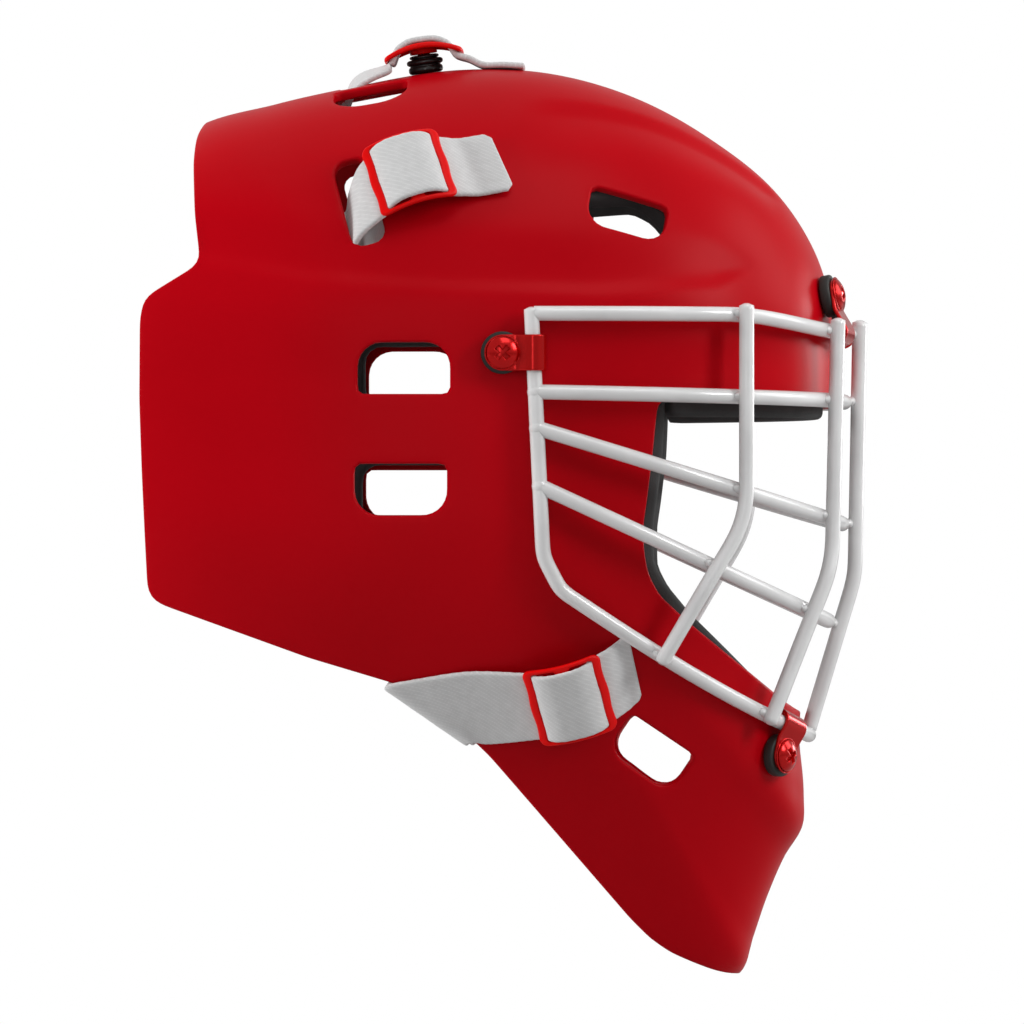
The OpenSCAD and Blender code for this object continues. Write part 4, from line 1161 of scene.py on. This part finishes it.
def make_cage():
    """Makes the cage's wires and returns the points of its perimeter."""
    perimeter = frame_paths()
    across = {name: bar_path(*ends) for name, ends in BARS.items()}
    uprights = {"side": upright_path(SIDE_BAR, 12), "inner": upright_path(INNER_BAR, 10)}
    wires = perimeter + list(across.values())

    def finish(name, part, node):
        dress(mesh_object(name, part), WHITE, "cage_wire", "mask", node)

    def upright(path):
        return join_meshes([tube_part(path, WIRE_D / 2)] + beads(path, wires))
    finish("perimeter_wire", join_meshes([tube_part(path, WIRE_D / 2) for path in perimeter]), "cage_frame")
    for name, path in across.items():
        ends = [bead_part(q, (0, 0, 1), END_BEAD_R, END_BEAD_L) for q in (path[0], path[-1])]
        finish(name + "_wire", join_meshes([tube_part(path, WIRE_D / 2)] + ends), f"cage_{name}_bar")
    for name, path in uprights.items():
        right = upright(path)
        finish(f"{name}_wire_right", right, f"cage_{name}_bar_right")
        finish(f"{name}_wire_left", mirrored(right), f"cage_{name}_bar_left")
    finish("centre_wire", upright(centre_path()), "cage_centre_bar")
    return np.vstack(perimeter)


# Clips, washers and screws
SIDE_CLIP = (17.6, 38)
CHIN_CLIP = (125.6, -122)
TOP_CLIP_TURN = 23
TOP_CLIP_Y = -26
# Above and below these heights the top and the chin clips look for the wire
TOP_WIRE_Z, CHIN_WIRE_Z = 20, -55
DECK = WASHER_T + CLIP_T
CLIP_CORNER = 0.8
SCREW_INSET = 0.45 * CLIP_W
HOLE_ROOM = 0.3
HOOK_ROOM = 0.8
HOOK_TURNS = (118, -22)
SHANK_END = -WALL - 4.4
# Turned profiles as (radius, height) pairs: the ring pressed into a clip, and the edge of a screw's head
COLLAR = [(6.5, -0.1), (6.6, 0.45), (6.95, 0.55), (7.15, 0.4), (7.2, -0.1)]
HEAD_R = SCREW_HEAD_D / 2
HEAD_RIM = [(HEAD_R * 0.5, 0), (HEAD_R - 0.15, 0), (HEAD_R, 0.2), (HEAD_R, 0.75)]
DOME_FROM = 0.95
DOME_H = 2.0
RECESS_DEPTH = 1.7
RECESS_REACH = 3.1


def top_clip_place():
    """Where the skin, going out at the top clips' angle, comes as near the middle as they are."""
    for t in np.linspace(0.02, 1, 1200):
        p = from_disc(t * heading(math.radians(TOP_CLIP_TURN)))
        if p[1] > TOP_CLIP_Y:
            return p[0], p[2]


def clip_sites(frame_wire):
    """For each clip, its screw's place in the side view and the point of the wire that it holds."""
    x, z = frame_rear_x(SIDE_CLIP[1]), SIDE_CLIP[1]
    sites = {"side": (SIDE_CLIP, np.array([x, -float(skin_y(x, z)) - WIRE_GAP - WIRE_D / 2, z]))}
    near = frame_wire[frame_wire[:, 1] <= 0.5]
    upper, lower = near[near[:, 2] > TOP_WIRE_Z], near[near[:, 2] < CHIN_WIRE_Z]
    for name, where, wire in (("top", top_clip_place(), upper), ("chin", CHIN_CLIP, lower)):
        sites[name] = where, wire[np.argmin(np.linalg.norm(wire - on_skin(*where), axis=1))]
    return sites


def clip_part(where, held):
    """A sheet-metal clip from its screw's place on the skin to the wire, which it is bent round."""
    p = on_skin(*where)
    n = normals(p)
    v = held - p
    high = float(np.dot(v, n))
    place = seat(p, n, v - high * n)
    reach = float(np.dot(v, place[1]))
    r = WIRE_D / 2 + CLIP_T / 2 + HOOK_ROOM
    path = [(along, WASHER_T + CLIP_T / 2) for along in (-SCREW_INSET, 0, SCREW_HEAD_D / 2)]
    hook = np.radians(np.linspace(*HOOK_TURNS, 12))
    path += [(reach + r * math.cos(a), high + r * math.sin(a)) for a in hook]
    fine = eased(resample(path, 0.5), 4)
    far = lengths_along(fine)
    t = tangents(fine)
    up = np.stack([-t[:, 1], t[:, 0]], -1)

    def bend(u, v, h):
        c = np.stack([np.interp(u, far, fine[:, k]) + h * np.interp(u, far, up[:, k]) for k in (0, 1)], -1)
        return place[0] + c[:, :1] * place[1] + v[:, None] * place[2] + c[:, 1:] * place[3]
    end, w, c = far[-1], CLIP_W / 2, CLIP_CORNER
    round_end = [(SCREW_INSET * (1 - math.sin(a)), -w * math.cos(a)) for a in np.linspace(0, math.pi, 25)]
    outline = [(end, c - w), (end - c, -w)] + round_end + [(end - c, w), (end, w - c)]
    circle = np.array([heading(math.radians(15 * k)) for k in range(24)])
    hole = np.array([SCREW_INSET, 0]) + (SCREW_D / 2 + HOLE_ROOM) * circle
    strip = plate_part(outline, [hole], bend, CLIP_T, 0.45, 0.9)
    return join_meshes([strip, lathe_part([(r, DECK + h) for r, h in COLLAR], place)]), place


def washer_part(place):
    r, top = WASHER_D / 2, WASHER_T
    below = [(0, 0.3), (r - 0.7, 0.3), (r - 0.2, 0.5), (r, 1.0)]
    above = [(r, top - 0.7), (r - 0.2, top - 0.2), (r - 0.7, top), (0, top)]
    return lathe_part(below + above, place)


def recess(r, turn):
    """How deep the cross recess of a screw's head is at a place."""
    u, v = sorted((abs(r * math.cos(turn)), abs(r * math.sin(turn))))
    half = 0.75 + 0.1 * v
    inside_arm = float(smooth((half - u) / 0.3 + 0.5))
    return RECESS_DEPTH * inside_arm * float(smooth((RECESS_REACH - v) / 0.5 + 0.5))


def shank_part(place, top):
    return lathe_part([(SCREW_D / 2, SHANK_END), (SCREW_D / 2, top)], place, 24)


def screw_part(place):
    """A pan-head screw: its dome is a fine polar grid, sunk where the cross recess is."""
    o, x, y, z = place
    sides = 96
    turns = [2 * math.pi * k / sides + math.pi / 4 for k in range(sides)]
    rings = [ring(o + (DECK + h) * z, x, y, r, sides) for r, h in HEAD_RIM]
    for r in np.append(np.linspace(HEAD_R * 0.985, HEAD_R * 0.6, 8), np.linspace(HEAD_R * 0.57, 0.12, 22)):
        height = DECK + DOME_FROM + DOME_H * (1 - (r / HEAD_R) ** 2.4)
        flat = ring(o + height * z, x, y, r, sides)
        rings.append([p - recess(r, turn) * z for p, turn in zip(flat, turns)])
    return join_meshes([ringed_part(rings), shank_part(place, DECK + 0.1)])


def make_clips(frame_wire):
    washers, screws = [], []
    for name, (where, held) in clip_sites(frame_wire).items():
        part, place = clip_part(where, held)
        clips = mesh_object(name + "_clip_strips", both_sides(part))
        dress(clips, CLIP_RED, "red_fittings", "mask", name + "_clips")
        washers.append(washer_part(place))
        screws.append(screw_part(place))
    washers = mesh_object("rubber_washers", both_sides(join_meshes(washers)))
    dress(washers, RUBBER, "washer_rubber", "mask", "clip_washers")
    screws = mesh_object("pan_head_screws", both_sides(join_meshes(screws)))
    dress(screws, CLIP_RED, "red_fittings", "mask", "clip_screws")


# Studs and buckles
# Rings of a stud from the shell up: bottom, top and radius
STUD_RINGS = [(0.2, 3.3, 6.9), (3.6, 5.9, 7.3), (6.1, 7.6, 5.9)]
# A ring's outline: how far it lies in from the radius, at shares of the ring's height
RING_OUTLINE = [(0.9, 0), (0.25, 0.15), (0, 0.35), (0, 0.65), (0.25, 0.85), (0.9, 1)]
STUD_NECK = 2.5


def stud_part(place):
    profile = [(0, 0.2)]
    for low, high, r in STUD_RINGS:
        profile += [(r - inset, mix(low, high, u)) for inset, u in RING_OUTLINE]
    profile += [(STUD_NECK, profile[-1][1]), (STUD_NECK, STUD_H + 1.4), (0, STUD_H + 1.5)]
    return join_meshes([lathe_part(profile, place), shank_part(place, 0.4)])


SOCKET = [(2.6, -2), (5.3, -2), (5.5, -1.8), (5.5, 0.5), (2.6, 0.5)]
# The waves along a buckle's two end rims: their height and length, and how far out they start
RIM_WAVE = 0.25
RIM_PITCH = 16
RIM_WAVE_FROM = 9


def buckle_part(place):
    """An arched buckle with two windows, its centre bar and the socket that snaps on the stud."""
    o, x, y, z = place
    window = (BUCKLE_L - 2 * BUCKLE_RIM - CENTRE_BAR) / 2

    def bend(u, v, h):
        wave = RIM_WAVE * np.cos(v * 2 * math.pi / RIM_PITCH)
        wave *= np.clip((np.abs(u) - RIM_WAVE_FROM) / 4, 0, 1)
        along = u + np.sign(u) * (wave - RIM_WAVE)
        return o + along[:, None] * x + v[:, None] * y + (arch(along) + h)[:, None] * z
    box = rounded_box(window, BUCKLE_W - 2 * SIDE_RIM, 1.0, 4)
    holes = [box + np.array([side * (CENTRE_BAR + window) / 2, 0]) for side in (-1, 1)]
    body = plate_part(rounded_box(BUCKLE_L, BUCKLE_W, BUCKLE_RIM), holes, bend, BUCKLE_T, 0.85, 0.9)
    return join_meshes([body, lathe_part([(r, STUD_H + h) for r, h in SOCKET], place, 32)])


def left_seat(place):
    o, x, y, z = place
    return flipped(o), flipped(x), -flipped(y), flipped(z)


TAIL_CUTS = {"top": 0.0, "upper": 2.5, "lower": 1.5}
STUD_SEATS = {
    "top": TOP, "upper_right": UPPER, "upper_left": left_seat(UPPER),
    "lower_right": LOWER, "lower_left": left_seat(LOWER),
}


def node_name(stem, name):
    """upper_right and buckle give upper_buckle_right; top and buckle give top_buckle."""
    return "_".join([name.split("_")[0], stem] + name.split("_")[1:])


def make_harness():
    studs = join_meshes([stud_part(place) for place in STUD_SEATS.values()])
    dress(mesh_object("snap_studs", studs), STUD_BLACK, "stud_plastic", "mask", "strap_studs")
    tails = {"top": top_tail(), "upper_right": side_tail(UPPER, UPPER_STUD, UPPER_TAIL, UPPER_SKEW),
             "lower_right": side_tail(LOWER, LOWER_STUD, LOWER_TAIL, LOWER_SKEW)}
    straps = {"top": top_strap(), "upper_right": upper_strap(), "lower_right": lower_strap()}
    for name in ("upper", "lower"):
        tails[name + "_left"] = on_left(tails[name + "_right"])
        stations, split = straps[name + "_right"]
        straps[name + "_left"] = on_left(stations), split
    for name, place in STUD_SEATS.items():
        body = name + "_buckle_set"
        buckle = mesh_object(name + "_arched_buckle", buckle_part(place))
        dress(buckle, BUCKLE_RED, "buckle_plastic", body, node_name("buckle", name))
        tail = strap_part(Ribbon(tails[name]), cut=TAIL_CUTS[name.split("_")[0]])
        dress(mesh_object(name + "_free_end", tail), ELASTIC, "elastic", body, node_name("tail", name))
        make_strap(name, *straps[name])


def make_strap(name, stations, split):
    """A strap in two pieces, which meet inside the shell. One goes to the back plate, one to the buckle."""
    node = node_name("strap", name)
    whole = Ribbon(stations)
    middle = [(s[0] + s[1]) / 2 for s in stations]
    lengths = [whole.far[np.argmin(np.linalg.norm(whole.middle - m, axis=1))] for m in middle]
    cut = float(lengths[split])
    lead = mesh_object(name + "_strap_lead", strap_part(whole, 0, cut + 0.01))
    lead.data.materials.append(ELASTIC)
    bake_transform(lead)
    run = mesh_object(name + "_strap_run", strap_part(whole, cut))
    run.data.materials.append(ELASTIC)
    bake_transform(run)
    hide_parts(node)
    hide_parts(node)


# The back plate, its pad and the anchors
RIVET = [(0, 0.25), (4, 0.25), (4, 0.9), (3.6, 1.5), (2.4, 1.85), (0, 1.95)]
ANCHOR_STEP = 6
PLATE_CORNER, PAD_CORNER = 14, 8


def plate_bend(lift):
    """What bends a flat shape round the back plate's axis, at a lift from the plate's face."""
    def bend(u, v, h):
        a, r = u / PLATE_R, PLATE_R + lift + h
        return np.stack([PLATE_AXIS - r * np.cos(a), -r * np.sin(a), PLATE_MID_Z + v], -1)
    return bend


def anchor_parts(places, rivet_at):
    """A strap's tab along places on the back plate, and its rivet. A place is a turn and a height."""
    tab = strap_part(Ribbon(squared([on_plate(*q, LIE) for q in places], [plate_out(q[0]) for q in places])))
    head = seat(on_plate(*rivet_at, STRAP_CLEAR + STRAP_T), plate_out(rivet_at[0]), (0, 0, 1))
    return tab, lathe_part(RIVET, head, 32)


def make_back():
    outline = rounded_box(2 * PLATE_HALF_W, PLATE_H, PLATE_CORNER, 12)
    plate = plate_part(outline, [], plate_bend(-PLATE_T / 2), PLATE_T, 1.1, 2.5, grid=4)
    dress(mesh_object("rear_shield", plate), PLATE_BLACK, "plate_plastic", "rear_plate", "back_plate")
    outline = rounded_box(2 * math.radians(PLATE_PAD_TURN) * PLATE_R, PLATE_PAD_H, PAD_CORNER, 8)
    lift = -PLATE_T - PAD_GAP - PLATE_PAD_T / 2
    pad = plate_part(outline, [], plate_bend(lift), PLATE_PAD_T, 3, 2.5, grid=4)
    pad = dress(mesh_object("rear_shield_pad", pad), FOAM, "liner_foam", "rear_plate", "back_plate_pad")
    turns = [ANCHOR_TURN + k * ANCHOR_STEP for k in (-1, 0, 1, 2)]
    side = [anchor_parts([(turn, z) for turn in turns], (ANCHOR_TURN, z)) for z in (-ANCHOR_Z, ANCHOR_Z)]
    heights = [PLATE_H / 2 - ANCHOR_L + k * ANCHOR_L / 2 for k in range(3)]
    top = anchor_parts([(0, z) for z in heights], (0, PLATE_H / 2 - ANCHOR_L / 2))
    tabs, rivets = [join_meshes([both_sides(join_meshes(p[i] for p in side)), top[i]]) for i in (0, 1)]
    dress(mesh_object("strap_tabs", tabs), ELASTIC_PLAIN, "elastic", "rear_plate", "strap_anchors")
    dress(mesh_object("tab_rivets", rivets), STEEL, "steel", "rear_plate", "anchor_rivets")


# The liner: foam pads cut from one sheet, which show a little round the eye opening
PAD_SHOW = 6
PAD_DEPTHS = (WALL + 0.5, WALL + 0.5 + PAD_T)
PAD_ROUNDS = (2.6, 2.6)
PAD_SPACING = 3.2
VENT_MARGIN = 2
NOTCH_CORNER = 4


def notched(outline, vents, edge_x):
    """An outline, anticlockwise, whose straight front edge at edge_x is notched by vents that reach it."""
    out = []
    for i, q in enumerate(outline):
        out.append(q)
        after = outline[(i + 1) % len(outline)]
        if q[0] == edge_x and after[0] == edge_x:
            for (cx, cz), (length, height) in vents:
                back, half = cx - length / 2 - VENT_MARGIN, height / 2 + VENT_MARGIN
                front = back + NOTCH_CORNER
                out += [(edge_x, cz - half), (front, cz - half), (back, cz - half + NOTCH_CORNER)]
                out += [(back, cz + half - NOTCH_CORNER), (front, cz + half), (edge_x, cz + half)]
    return out


def pad_outlines():
    """Side-view outlines of the pads, those that reach across the middle first."""
    low = BROW_Z - PAD_SHOW
    show = PAD_SHOW * 0.7
    shifts = [(0.7 * show, 0.7 * show), (show, show), (show, show)] + [(PAD_SHOW, 0)] * 4
    eye_edge = [(x + dx, z + dz) for (x, z), (dx, dz) in zip(EYE[9:], shifts)]
    ear_front = -2
    ear = [(-97, -44), (-90, -50), (-8, -50), (ear_front, -44), (ear_front, 50), (-8, 56), (-90, 56),
           (-97, 50)]
    whole = {
        "forehead": [(86, low), (200, low), (200, 84), (88, 84)],
        "crown": [(-18, 124), (40, 124), (78, 112), (112, 88), (200, 88), (200, 200), (-18, 200)],
        "chin": [(98, -138), (94, -190), (200, -190), (200, -138)],
    }
    sides = {
        "temple": [(28, 62), (82, 62), (82, 78), (50, 78), (47, 84), (47, 96), (50, 102), (72, 104),
                   (80, 100), (86, 92), (104, 90), (76, 109), (38, 121), (28, 121)],
        "cheek": [(2, 16), (2, -78), (60, -98), (114, -107), (127, -96)] + eye_edge
                 + [(78.4 + PAD_SHOW, 12), (84.6, 23), (70, 23), (66, 16)],
        "ear": notched(ear, [(EAR_2, EAR_VENT), (EAR_1, EAR_VENT)], ear_front),
    }
    return whole, sides


def make_pads():
    def half(outline):
        return sheet_part(softened(outline, 16), [], [], PAD_DEPTHS, PAD_ROUNDS, PAD_SPACING)
    whole, sides = pad_outlines()
    pads = [(name + "_foam", name + "_pad", both_sides(half(outline))) for name, outline in whole.items()]
    for name, outline in sides.items():
        right = half(outline)
        pads.append((name + "_foam_right", name + "_pad_right", right))
        pads.append((name + "_foam_left", name + "_pad_left", mirrored(right)))
    for name, node, part in pads:
        obj = dress(mesh_object(name, part, SHEET_MERGE), FOAM, "liner_foam", "mask", node)


# Materials
def srgb(r, g, b):
    def lin(c):
        c /= 255
        return c / 12.92 if c <= 0.04045 else ((c + 0.055) / 1.055) ** 2.4
    return lin(r), lin(g), lin(b), 1.0


def add_node(tree, kind, links=(), **settings):
    """A new node. A setting named in_ sets an input, and links join outputs of other nodes to inputs."""
    n = tree.nodes.new(kind)
    for key, value in settings.items():
        if key.startswith("in_"):
            name = key[3:]
            n.inputs[int(name) if name.isdigit() else name.replace("_", " ")].default_value = value
        else:
            setattr(n, key, value)
    for target, source in links:
        tree.links.new(source, n.inputs[target])
    return n


class Material:
    """A node material with a Principled shader and short helpers for its procedural parts."""

    def __init__(self, name, **values):
        self.mat = bpy.data.materials.new(name)
        self.mat.use_nodes = True
        self.tree = self.mat.node_tree
        self.shader = self.tree.nodes["Principled BSDF"]
        for key, value in values.items():
            self.shader.inputs[key.replace("_", " ")].default_value = value

    def node(self, kind, links=(), **settings):
        return add_node(self.tree, kind, links, **settings)

    def link(self, out, socket):
        self.tree.links.new(out, self.shader.inputs[socket])

    def place(self, kind="Object"):
        return self.node("ShaderNodeTexCoord").outputs[kind]

    def noise(self, scale, detail, vector=None):
        links = [("Vector", self.place() if vector is None else vector)]
        return self.node("ShaderNodeTexNoise", links, in_Scale=scale, in_Detail=detail).outputs["Fac"]

    def spread(self, fac, low, high):
        return self.node("ShaderNodeMapRange", [("Value", fac)], in_3=low, in_4=high).outputs[0]

    def colour(self, fac, dark, light, start=0.3, end=0.7):
        """The base colour: a ramp between two colours."""
        n = self.node("ShaderNodeValToRGB", [("Fac", fac)])
        for element, at, shade in zip(n.color_ramp.elements, (start, end), (dark, light)):
            element.position, element.color = at, srgb(*shade)
        self.link(n.outputs["Color"], "Base Color")

    def bumps(self, *layers):
        """The normal: layers of height, strength and distance on each other."""
        normal = []
        for height, strength, distance in layers:
            links = [("Height", height)] + normal
            n = self.node("ShaderNodeBump", links, in_Strength=strength, in_Distance=distance)
            normal = [("Normal", n.outputs["Normal"])]
        self.link(n.outputs["Normal"], "Normal")


def moulded(name, dark, light, tone, scuff, rough, *grain, ends=(0.3, 0.7), **values):
    """A mottled surface. tone and scuff are the noises of its colour and of its roughness, from low to
    high, and each layer of grain is a noise, a strength and a depth."""
    m = Material(name, Roughness=sum(rough) / 2, **values)
    m.colour(m.noise(*tone), dark, light, *ends)
    m.link(m.spread(m.noise(*scuff), *rough), "Roughness")
    m.bumps(*[(m.noise(*noise), strength, depth) for noise, strength, depth in grain])
    return m.mat


def plastic(name, light, dark, roughness, grain=900, depth=0.00004, **values):
    rough = (roughness - 0.04, roughness + 0.05)
    fine = ((grain, 2), 0.25, depth)
    return moulded(name, dark, light, (26, 3), (70, 3), rough, fine, ends=(0.25, 0.75), **values)


def elastic_material():
    """Woven elastic: fine ribs across the strap and a twill that runs along it."""
    m = Material("woven_elastic", Roughness=0.85, Sheen_Weight=0.25, Sheen_Roughness=0.5)
    parts = m.node("ShaderNodeSeparateXYZ", [(0, m.place("UV"))])
    along, across = parts.outputs["X"], parts.outputs["Y"]

    def maths(kind, a, b=None, **settings):
        links = [(0, a)] if b is None else [(0, a), (1, b)]
        return m.node("ShaderNodeMath", links, operation=kind, **settings).outputs[0]

    def wave(value, pitch):
        return maths("SINE", maths("MULTIPLY", value, in_1=2 * math.pi / pitch))
    slant = wave(maths("ADD", along, across), 0.0023)
    knit = maths("ADD", maths("MULTIPLY", wave(across, 0.0011), wave(along, 0.0016)), slant)
    height = m.spread(maths("MULTIPLY", knit, in_1=0.25), 0.3, 0.7)
    tone = maths("ADD", height, m.spread(m.noise(300, 2), -0.12, 0.12))
    m.colour(tone, (192, 192, 192), (230, 230, 230), 0.2, 0.8)
    m.bumps((height, 0.5, 0.00025))
    return m.mat


def foam_material():
    m = Material("liner_foam", Roughness=0.9)
    m.colour(m.noise(60, 3), (50, 50, 50), (60, 60, 60))
    cells = m.node("ShaderNodeTexVoronoi", [("Vector", m.place())], in_Scale=900.0)
    m.bumps((cells.outputs["Distance"], 0.4, 0.0002))
    return m.mat


def steel_material():
    m = Material("brushed_steel", Metallic=1.0, Roughness=0.35)
    stretched = m.node("ShaderNodeMapping", [("Vector", m.place())], in_Scale=(1, 1, 30)).outputs[0]
    m.colour(m.noise(120, 3, stretched), (150, 152, 156), (178, 180, 184))
    m.bumps((m.noise(400, 3, stretched), 0.15, 0.00005))
    return m.mat


RED = moulded("moulded_red", (174, 0, 13), (184, 0, 16), (9, 3), (22, 4), (0.33, 0.40),
              ((55, 3), 0.12, 0.0004), ((1300, 2), 0.12, 0.00004), Specular_IOR_Level=0.06)


WHITE = moulded("white_wire", (214, 214, 214), (228, 228, 228), (40, 3), (120, 3), (0.25, 0.36),
                ((500, 3), 0.2, 0.00008), Coat_Weight=0.7, Coat_Roughness=0.06)


RUBBER = moulded("black_rubber", (22, 24, 21), (30, 32, 29), (80, 3), (200, 3), (0.5, 0.68),
                 ((900, 3), 0.3, 0.00008))


ELASTIC = elastic_material()
ELASTIC_PLAIN = plastic("anchor_elastic", (190, 190, 190), (172, 172, 172), 0.85, grain=1500, depth=0.0002)
FOAM = foam_material()
STEEL = steel_material()
CLIP_RED = plastic("clip_red", (198, 2, 3), (182, 1, 2), 0.2, Metallic=0.7, Coat_Weight=0.1,
                   Coat_Roughness=0.12)
BUCKLE_RED = plastic("buckle_red", (226, 4, 4), (212, 2, 2), 0.38, Specular_IOR_Level=0.15)
STUD_BLACK = plastic("stud_black", (27, 28, 27), (20, 21, 20), 0.3, Coat_Weight=0.3, Coat_Roughness=0.12)
PLATE_BLACK = plastic("plate_black", (34, 35, 35), (26, 27, 27), 0.45)


def dress(obj, material, slot, body, *nodes):
    obj.data.materials.clear()
    obj.data.materials.append(material)
    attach(obj, body)
    if nodes:
        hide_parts(*nodes)
    return obj


# Camera at the photograph's angle
CAMERA_DISTANCE = 8.0
YAW, TILT = 0.9, -0.6
VIEW_WIDTH = 0.4096
AIM = Vector((0.0208, -0.055, -0.0248))


def aimed(obj, way):
    obj.rotation_euler = way.to_track_quat("-Z", "Y").to_euler()


def make_camera():
    data = bpy.data.cameras.new("camera")
    data.sensor_width = 36
    data.lens = 36 * CAMERA_DISTANCE / VIEW_WIDTH
    data.clip_end = 100
    cam = new_object("camera", data)
    yaw, tilt = math.radians(YAW), math.radians(TILT)
    away = Vector((math.sin(yaw) * math.cos(tilt), -math.cos(yaw) * math.cos(tilt), math.sin(tilt)))
    cam.location = AIM + CAMERA_DISTANCE * away
    aimed(cam, -away)
    bpy.context.scene.camera = cam


# Floor, background and lights
FLOOR_Z = -0.262
FLOOR_HALF = 30.0
WORLD_LIGHT = 0.24
GLOSSY_SHARE = 0.35


def make_floor():
    """A grey floor for the object's light, which the camera sees as white."""
    mesh = bpy.data.meshes.new("floor")
    corners = [(x * FLOOR_HALF, y * FLOOR_HALF, FLOOR_Z) for x, y in ((-1, -1), (1, -1), (1, 1), (-1, 1))]
    mesh.from_pydata(corners, [], [(0, 1, 2, 3)])
    floor = new_object("floor", mesh)
    m = Material("pale_floor", Base_Color=(0.42, 0.42, 0.42, 1), Roughness=0.9)
    glow = m.node("ShaderNodeEmission", in_Color=(1, 1, 1, 1))
    seen = m.node("ShaderNodeLightPath").outputs["Is Camera Ray"]
    blend = m.node("ShaderNodeMixShader", [("Fac", seen), (1, m.shader.outputs[0]), (2, glow.outputs[0])])
    m.tree.links.new(blend.outputs[0], m.tree.nodes["Material Output"].inputs["Surface"])
    mesh.materials.append(m.mat)


def make_world():
    """A world that the camera sees as white, gloss as part of that, and everything else as dim."""
    world = bpy.data.worlds.new("studio")
    bpy.context.scene.world = world
    world.use_nodes = True
    tree = world.node_tree

    def maths(kind, links, **settings):
        return add_node(tree, "ShaderNodeMath", links, operation=kind, **settings).outputs[0]
    rays = add_node(tree, "ShaderNodeLightPath").outputs
    seen = maths("MAXIMUM", [(0, rays["Is Camera Ray"]), (1, rays["Is Transmission Ray"])])
    glossy = maths("MULTIPLY", [(0, rays["Is Glossy Ray"])], in_1=GLOSSY_SHARE)
    either = maths("MAXIMUM", [(0, seen), (1, glossy)])
    strength = add_node(tree, "ShaderNodeMapRange", [(0, either)], in_3=WORLD_LIGHT, in_4=1.0)
    background = tree.nodes["Background"]
    background.inputs["Color"].default_value = (1, 1, 1, 1)
    tree.links.new(strength.outputs[0], background.inputs["Strength"])


def make_light(name, place, aim, size, power, shines=True):
    data = bpy.data.lights.new(name, "AREA")
    data.shape = "RECTANGLE"
    data.size, data.size_y = size
    data.energy = power
    obj = new_object(name, data)
    obj.location = place
    aimed(obj, Vector(aim) - Vector(place))
    obj.visible_glossy = shines


def make_lights():
    make_light("key", (0.5, -1.1, 1.9), (0.03, 0, 0.08), (1.2, 1.0), 10.8)
    make_light("top", (-0.2, 0.3, 1.9), (0, 0, 0.05), (1.6, 1.2), 8.5, False)
    make_light("forehead", (1.8, -1.0, 1.0), (0.1, 0, 0.08), (0.5, 0.9), 18)
    make_light("side", (-0.2, -2.2, 0.3), (0, 0, 0), (0.25, 1.4), 2.6)
    make_light("front", (2.0, 0.3, 1.1), (0.05, 0, 0.06), (1.0, 1.4), 16)
    make_light("brow", (1.55, 1.2, 0.22), (0.13, -0.03, 0.045), (0.5, 0.5), 8.5)
    make_light("rear", (-2.4, -0.42, 0.4), (0, 0, 0.02), (1.2, 1.2), 48, False)
    make_light("behind", (-1.4, 1.6, 0.9), (0, 0, 0), (1.4, 1.2), 8, False)


bpy.context.scene.view_settings.view_transform = "Standard"
make_camera()
make_floor()
make_world()
make_lights()

make_shell()
make_clips(make_cage())
make_harness()
make_back()
make_pads()

# The nuts keep their CAD shape and get a finished material
for nuts in ("clip_nuts", "stud_nuts"):
    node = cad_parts[nuts]
    node.data.materials.clear()
    node.data.materials.append(STEEL)
